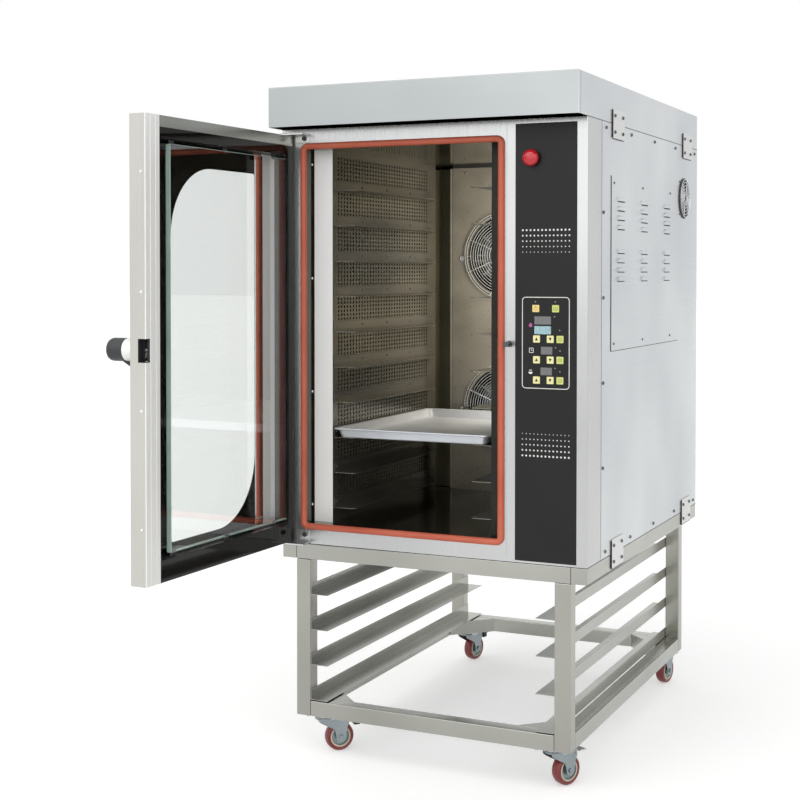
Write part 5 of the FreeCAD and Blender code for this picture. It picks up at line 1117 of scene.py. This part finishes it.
def make_inner_pane():
    """Inner pane with pale cut edges, and the bead along its free and lower edges."""
    pane_z = (GLASS_Z[0] + 10.0, GLASS_Z[1] - 10.0)
    bm = bmesh.new()
    door_slab(bm, INNER_PANE_S, (TRIM_V[1], PANE_V), pane_z, 0.8)
    for face in bm.faces:
        face.material_index = 0 if abs(face.normal.y) > 0.99 else 1
    door_piece(bm, "inner_pane", [CLEAR_GLASS, GLASS_EDGE], "door_inner_glass")
    bead, bead_v = 3.0, (PANE_V, PANE_V + 8.0)
    inner = INNER_PANE_S[1] - bead
    bm = bmesh.new()
    door_slab(bm, (inner, INNER_PANE_S[1]), bead_v, pane_z, 0.8)
    door_slab(bm, (GLASS_S[0] + 1.0, inner), bead_v, (pane_z[0], pane_z[0] + bead), 0.8)
    door_piece(bm, "inner_pane_bead", GLASS_EDGE)


def make_handle():
    """Turned grip with a rounded end on a satin steel sleeve, with a wedge below."""
    seat = DOOR_DEPTH + 0.3
    axis = facing(door_point(SPINDLE_S, seat, LATCH_Z), (0, -1, 0))
    grip = [(0.0, 26.4), (25.2, 26.4), (26.0, 27.2), (26.0, 60.0), (25.4, 65.0), (23.4, 69.0), (20.0, 71.4)]
    grip += [(15.0, 72.0), (0.0, 72.0)]
    sleeve = [(0.0, 0.0), (25.0, 0.0), (25.8, 0.8), (25.8, 25.0), (25.2, 25.6), (25.2, 26.3), (0.0, 26.3)]
    bm = bmesh.new()
    lathe(bm, grip, axis, 56)
    door_piece(bm, "handle_grip", GRIP_PLASTIC, "door_handle", "handle")
    bm = bmesh.new()
    lathe(bm, sleeve, axis, 56)
    door_piece(bm, "handle_sleeve", STILE_STAINLESS, body="handle")
    wedge = [(0.0, -24.0), (0.0, -45.0), (33.0, -26.5), (33.0, -22.0)]
    bm = bmesh.new()
    points = [door_point(SPINDLE_S - 9.0, seat + out, LATCH_Z + rise) for out, rise in wedge]
    prism(bm, points, (18.0, 0, 0), 1.0)
    door_piece(bm, "handle_wedge", BLACK_PLASTIC_AND_SHADE, body="handle")


def make_hinge_angles():
    """Bent hinge angles with their pins, and one dark bolt on each foot."""
    arm, pin = 4.0, 22.0
    foot = (HINGE.x + 22.0, HINGE.x + 60.0)
    foot_face = FRONT - 3.0
    pin_head = [(6.0, 0.0), (6.0, 1.6), (4.8, 2.4), (0.0, 2.4)]
    bolts = []
    bm = bmesh.new()
    upper, lower = (1581.3, 1, (1563.0, 1585.3), 1574.0), (548.7, -1, (544.7, 578.7), 567.7)
    for near, way, foot_z, bolt_z in (upper, lower):
        slab(bm, (DOOR_START, foot[1]), (HINGE.y - 12.0, FRONT), sorted((near, near + way * arm)), 0.8)
        slab(bm, foot, (foot_face, FRONT), foot_z, 0.8)
        rod(bm, (HINGE.x, HINGE.y, near), (HINGE.x, HINGE.y, near - way * pin), 4.0)
        lathe(bm, pin_head, facing((HINGE.x, HINGE.y, near + way * arm), (0, 0, way)), 20)
        bolts.append(facing((foot[1] - 13.0, foot_face, bolt_z), (0, -1, 0)))
    piece(bm, "hinge_angles", STAINLESS_UPRIGHT, "hinge_brackets")
    bm = bmesh.new()
    stamp(bm, HEX_BOLT, bolts)
    piece(bm, "hinge_bolts", BLACK_PAINT)


# Controls
KEYS = {"key_power": ("power", "top"), "key_light": ("light", "top")}
for group in ("temperature", "time", "steam"):
    for column in ("up", "down", "set"):
        KEYS[f"key_{group}_{column}"] = (column, group)
KEY_LOOKS = {
    "power": (KEY_AMBER, "key_amber"),
    "up": (KEY_CREAM, "key_yellow"),
    "down": (KEY_CREAM, "key_yellow"),
    "light": (KEY_LIME, "key_lime"),
    "set": (KEY_LIME, "key_lime"),
}


def ink(bm, points, y):
    """Flat printed shape standing just proud of a face."""
    prism(bm, [(x, y, z) for x, z in points], (0, -INK, 0))


def ink_bar(bm, xs, zs, y):
    """Printed bar between limits."""
    slab(bm, xs, (y - INK, y), zs)


def ink_frame(bm, x, z, outer, inner, radii, y, count=4):
    """Printed line round a rectangle, between two sizes."""
    outlines = [oblong(x, z, *size, radius, y, count) for size, radius in zip((outer, inner), radii)]
    pierced_sheet(bm, *outlines, (0, -INK, 0))


def key_sign(bm, column, x, z):
    """Printed sign of a key: an arrow, a power ring or a framed list; gives its ink."""
    if column in ("up", "down"):
        way = 1 if column == "up" else -1
        ink(bm, [(x - 3.8, z - 3.4 * way), (x + 3.8, z - 3.4 * way), (x, z + 4.0 * way)], KEY_FACE)
        return BLACK_INK
    if column == "power":
        rings = [circle_points((x, KEY_FACE, z), (1, 0, 0), (0, 0, 1), radius, 20) for radius in (4.6, 3.6)]
        pierced_sheet(bm, *rings, (0, -INK, 0))
        ink_bar(bm, around(x, 1.2), (z + 1.0, z + 6.0), KEY_FACE)
        return AMBER_INK
    ink_frame(bm, x, z, (10.0, 8.4), (8.2, 6.6), (1.4, 0.9), KEY_FACE)
    for level in (-1.4, 1.4):
        ink_bar(bm, around(x, 5.6), around(z + level, 0.8), KEY_FACE)
    return OLIVE_INK


def make_keys():
    """Film keys with rounded corners and printed arrows or signs."""
    for name, (column, row) in KEYS.items():
        x, z = KEYPAD_LEFT + KEY_COLUMNS[column], KEYPAD_TOP - KEY_ROWS[row]
        finish, slot = KEY_LOOKS[column]
        bm = bmesh.new()
        prism(bm, oblong(x, z, KEY_SIZE, KEY_SIZE, 1.6, KEY_FACE), (0, 3.0, 0), 0.4)
        piece(bm, name + "_film", finish, name, name + "_cap")
        bm = bmesh.new()
        sign = key_sign(bm, column, x, z)
        piece(bm, name + "_sign", sign, body=name + "_cap")


def make_keypad_prints():
    """Outline, lamps, signs and display windows on the keypad's film."""
    y = PANEL_FACE
    width, height = KEYPAD_SIZE
    bm = bmesh.new()
    x, z = KEYPAD_LEFT + width / 2, KEYPAD_TOP - height / 2
    ink_frame(bm, x, z, (width - 1.2, height - 1.2), (width - 4.8, height - 4.8), (9.0, 7.4), y, 8)
    x, z = 268.0, 1051.0
    ink_frame(bm, x, z, (11.2, 12.0), (8.4, 9.2), (2.0, 1.2), y)
    ink_bar(bm, (x - 0.6, x + 3.0), around(z, 1.2), y)
    ink_bar(bm, around(x, 1.2), (z + 0.6, z + 3.4), y)
    x, z = 266.0, 1000.0
    ink(bm, circle_arc(x, z, 5.2, math.pi, 2 * math.pi, 12), y)
    for across in (-2.4, 0.0, 2.4):
        ink_bar(bm, around(x + across, 1.0), (z + 1.6, z + 5.6), y)
    piece(bm, "keypad_white_print", WHITE_INK)
    x, z = 266.0, 1110.0
    bm = bmesh.new()
    ink(bm, circle_arc(x, z, 4.4, math.radians(-220), math.radians(40), 16) + [(x, z + 7.0)], y)
    piece(bm, "keypad_drop_print", PINK_INK)
    lamp = [(1.7, 0.0), (1.6, 0.5), (1.0, 0.9), (0.0, 1.0)]
    lamps = [(278, 1166), (327, 1166), (325, 1131), (338, 1099), (328, 1058), (339, 1051)]
    lamps += [(327, 1010), (339, 1002)]
    bm = bmesh.new()
    for x, z in lamps:
        lathe(bm, lamp, facing((x, y, z), (0, -1, 0)), 12)
    piece(bm, "keypad_lamps", GREY_INK)
    unlit = [(296.0, 1122.0, 41.0, 19.0), (306.0, 1051.0, 28.0, 18.0), (305.0, 1002.0, 28.0, 18.0)]
    lit = [(296.0, 1099.0, 41.0, 19.0)]
    for name, windows, finish in (("unlit_windows", unlit, DISPLAY_OFF), ("lit_window", lit, DISPLAY_ON)):
        bm = bmesh.new()
        for window in windows:
            prism(bm, oblong(*window, 0.8, y, 3), (0, -0.3, 0), 0.1, 1)
        piece(bm, name, finish)


def make_vent_screens():
    """Pale screen behind the vent holes, seen as rows of bright dots."""
    diameters = (5.0, 4.4, 3.8, 3.2, 2.6)
    columns, across, down = 13, 9.6, 13.0
    middle = (PANEL_X[0] + PANEL_X[1]) / 2
    upper = PANEL_Z[1] - 252.0
    lower = PANEL_Z[1] - 786.0 + down * 4
    bm = bmesh.new()
    for top, sizes in ((upper, diameters), (lower, diameters[::-1])):
        for row, diameter in enumerate(sizes):
            for column in range(columns):
                x, z = middle + (column - columns // 2) * across, top - row * down
                rod(bm, (x, PANEL_FACE + 0.5, z), (x, PANEL_FACE + 2.5, z), diameter / 2 - 0.05, sides=10)
    piece(bm, "vent_screen_dots", VENT_SCREEN)


def make_stop_button():
    """Red mushroom head on its stem."""
    x, z = ESTOP
    back = PANEL_FACE - 8.3
    head = [(0.0, 0.0), (17.0, 0.0), (19.0, 0.8), (20.0, 2.4), (20.0, 4.0), (19.0, 7.6)]
    head += [(16.2, 11.6), (12.0, 14.4), (7.0, 15.7), (0.0, 16.0)]
    bm = bmesh.new()
    lathe(bm, head, facing((x, back, z), (0, -1, 0)), 56)
    rod(bm, (x, back, z), (x, PANEL_FACE + 19.4, z), 5.9)
    piece(bm, "stop_head", STOP_RED, "estop_button", "estop")


# Stage, light and camera: the world lights the object less brightly than it looks
WORLD_LIGHT, FLOOR_GLOW = 0.55, 0.42


def background_factor(tree):
    """One for rays that should see the white background: camera, glossy and transmission rays."""
    path = add(tree, "ShaderNodeLightPath")
    plain = {0: path.outputs["Is Camera Ray"], 1: path.outputs["Is Glossy Ray"]}
    first = add(tree, "ShaderNodeMath", {"operation": "MAXIMUM"}, plain)
    through = {0: first.outputs[0], 1: path.outputs["Is Transmission Ray"]}
    return add(tree, "ShaderNodeMath", {"operation": "MAXIMUM"}, through).outputs[0]


def make_stage():
    """White world and a pale floor that keeps the object's shadow."""
    world = bpy.data.worlds.new("studio_world")
    bpy.context.scene.world = world
    world.use_nodes = True
    tree = world.node_tree
    tree.nodes.clear()
    seen = background_factor(tree)
    span = {"To Min": WORLD_LIGHT, "To Max": 1.0}
    strength = add(tree, "ShaderNodeMapRange", span, {"Value": seen})
    sky = add(tree, "ShaderNodeBackground", {"Color": (1, 1, 1, 1)}, {"Strength": strength.outputs["Result"]})
    add(tree, "ShaderNodeOutputWorld", links={"Surface": sky.outputs["Background"]})

    bm = bmesh.new()
    bmesh.ops.create_grid(bm, x_segments=1, y_segments=1, size=60.0)
    mesh = frozen(bm, "studio_floor")
    floor = bpy.data.objects.new("studio_floor", mesh)
    floor.location.z = -0.0005
    bpy.context.scene.collection.objects.link(floor)
    dull = {"Base Color": linear("#e4e4e3"), "Roughness": 0.9, "Specular IOR Level": 0.0}
    paint, tree, shader = new_finish("pale_floor", {**dull, "Emission Color": (1, 1, 1, 1)})
    share = {"operation": "MULTIPLY", 1: FLOOR_GLOW}
    glow = add(tree, "ShaderNodeMath", share, {0: background_factor(tree)})
    tree.links.new(glow.outputs[0], shader.inputs["Emission Strength"])
    mesh.materials.append(paint)


def place_lamp(lamp, direction):
    """Put a lamp in the scene, shining in a direction."""
    obj = bpy.data.objects.new(lamp.name, lamp)
    obj.rotation_euler = Vector(direction).to_track_quat("-Z", "Y").to_euler()
    bpy.context.scene.collection.objects.link(obj)
    return obj


def make_sun(name, direction, strength, angle):
    """Large soft lamp from one direction."""
    lamp = bpy.data.lights.new(name, "SUN")
    lamp.energy = strength
    lamp.angle = math.radians(angle)
    place_lamp(lamp, direction)


def make_chamber_lamp():
    """Tall soft lamp by the right duct near the baffle, out of the camera's sight behind the right post."""
    lamp = bpy.data.lights.new("chamber_lamp", "AREA")
    lamp.shape = "RECTANGLE"
    lamp.size, lamp.size_y = 0.1, 0.6
    lamp.energy = 6.5
    lamp.color = linear("#fff5e4")[:3]
    obj = place_lamp(lamp, (-1.0, 0.22, -0.05))
    obj.location = (0.085, 0.02, 1.24)
    obj.visible_glossy = False
    obj.visible_transmission = False


def make_camera():
    """Camera at the photo's place: right of the front, at chest height, with its lens given in pixels."""
    picture_px, focal_px, centre_px = 800.0, 1463.84, (381.74, 302.03)
    data = bpy.data.cameras.new("photo_camera")
    data.sensor_width = 36.0
    data.lens = focal_px / picture_px * data.sensor_width
    data.shift_x = (picture_px / 2 - centre_px[0]) / picture_px
    data.shift_y = (centre_px[1] - picture_px / 2) / picture_px
    data.clip_end = 200.0
    camera = bpy.data.objects.new("photo_camera", data)
    camera.location = (1.4374, -3.8075, 1.2379)
    camera.rotation_euler = (math.radians(90.0 - 1.205), 0.0, math.radians(25.499))
    bpy.context.scene.collection.objects.link(camera)
    bpy.context.scene.camera = camera


for make in (
    make_stand, make_stand_rails, make_castor_tops, make_castors,
    make_front_frame, make_side_sheets, make_hood, make_brackets, make_seams, make_casing_screws,
    make_service_cover, make_grille_rings,
    make_duct_panels, make_duct_faces, make_baffle_edges, make_tray_rails, make_fan_guards, make_tray,
    make_seal,
    make_door_frame, make_door_lining, make_door_trim, make_outer_pane, make_inner_pane, make_handle,
    make_keys, make_keypad_prints, make_vent_screens, make_stop_button, make_hinge_angles,
):
    make()
for node, finish in {
    "bottom_panel": STAINLESS, "back_panel": STAINLESS, "cavity_liner": CHAMBER_STEEL,
    "insulation_blanket": MINERAL_WOOL, "fan_baffle": BAFFLE_STEEL, "fan_motors": MOTOR_PAINT,
    "heater_rings": HEATER_STEEL, "control_panel": PANEL_FILM, "keypad_module": KEYPAD_FILM,
    "estop_body": BLACK_PLASTIC_AND_SHADE, "striker_pin": DARK_ZINC, "vent_grille": BLACK_PLASTIC_AND_SHADE,
    "cable_gland": BLACK_PLASTIC_AND_SHADE, "latch_claw": ZINC, "upper_fan": ROTOR_STEEL, "lower_fan": ROTOR_STEEL,
}.items():
    dress(node, finish)
make_stage()
make_sun("key_lamp", (-0.32, 0.86, -0.34), 1.6, 100.0)
make_sun("fill_lamp", (0.5, 0.6, -0.7), 0.6, 60.0)
make_chamber_lamp()
make_camera()
bpy.context.scene.view_settings.view_transform = "Standard"
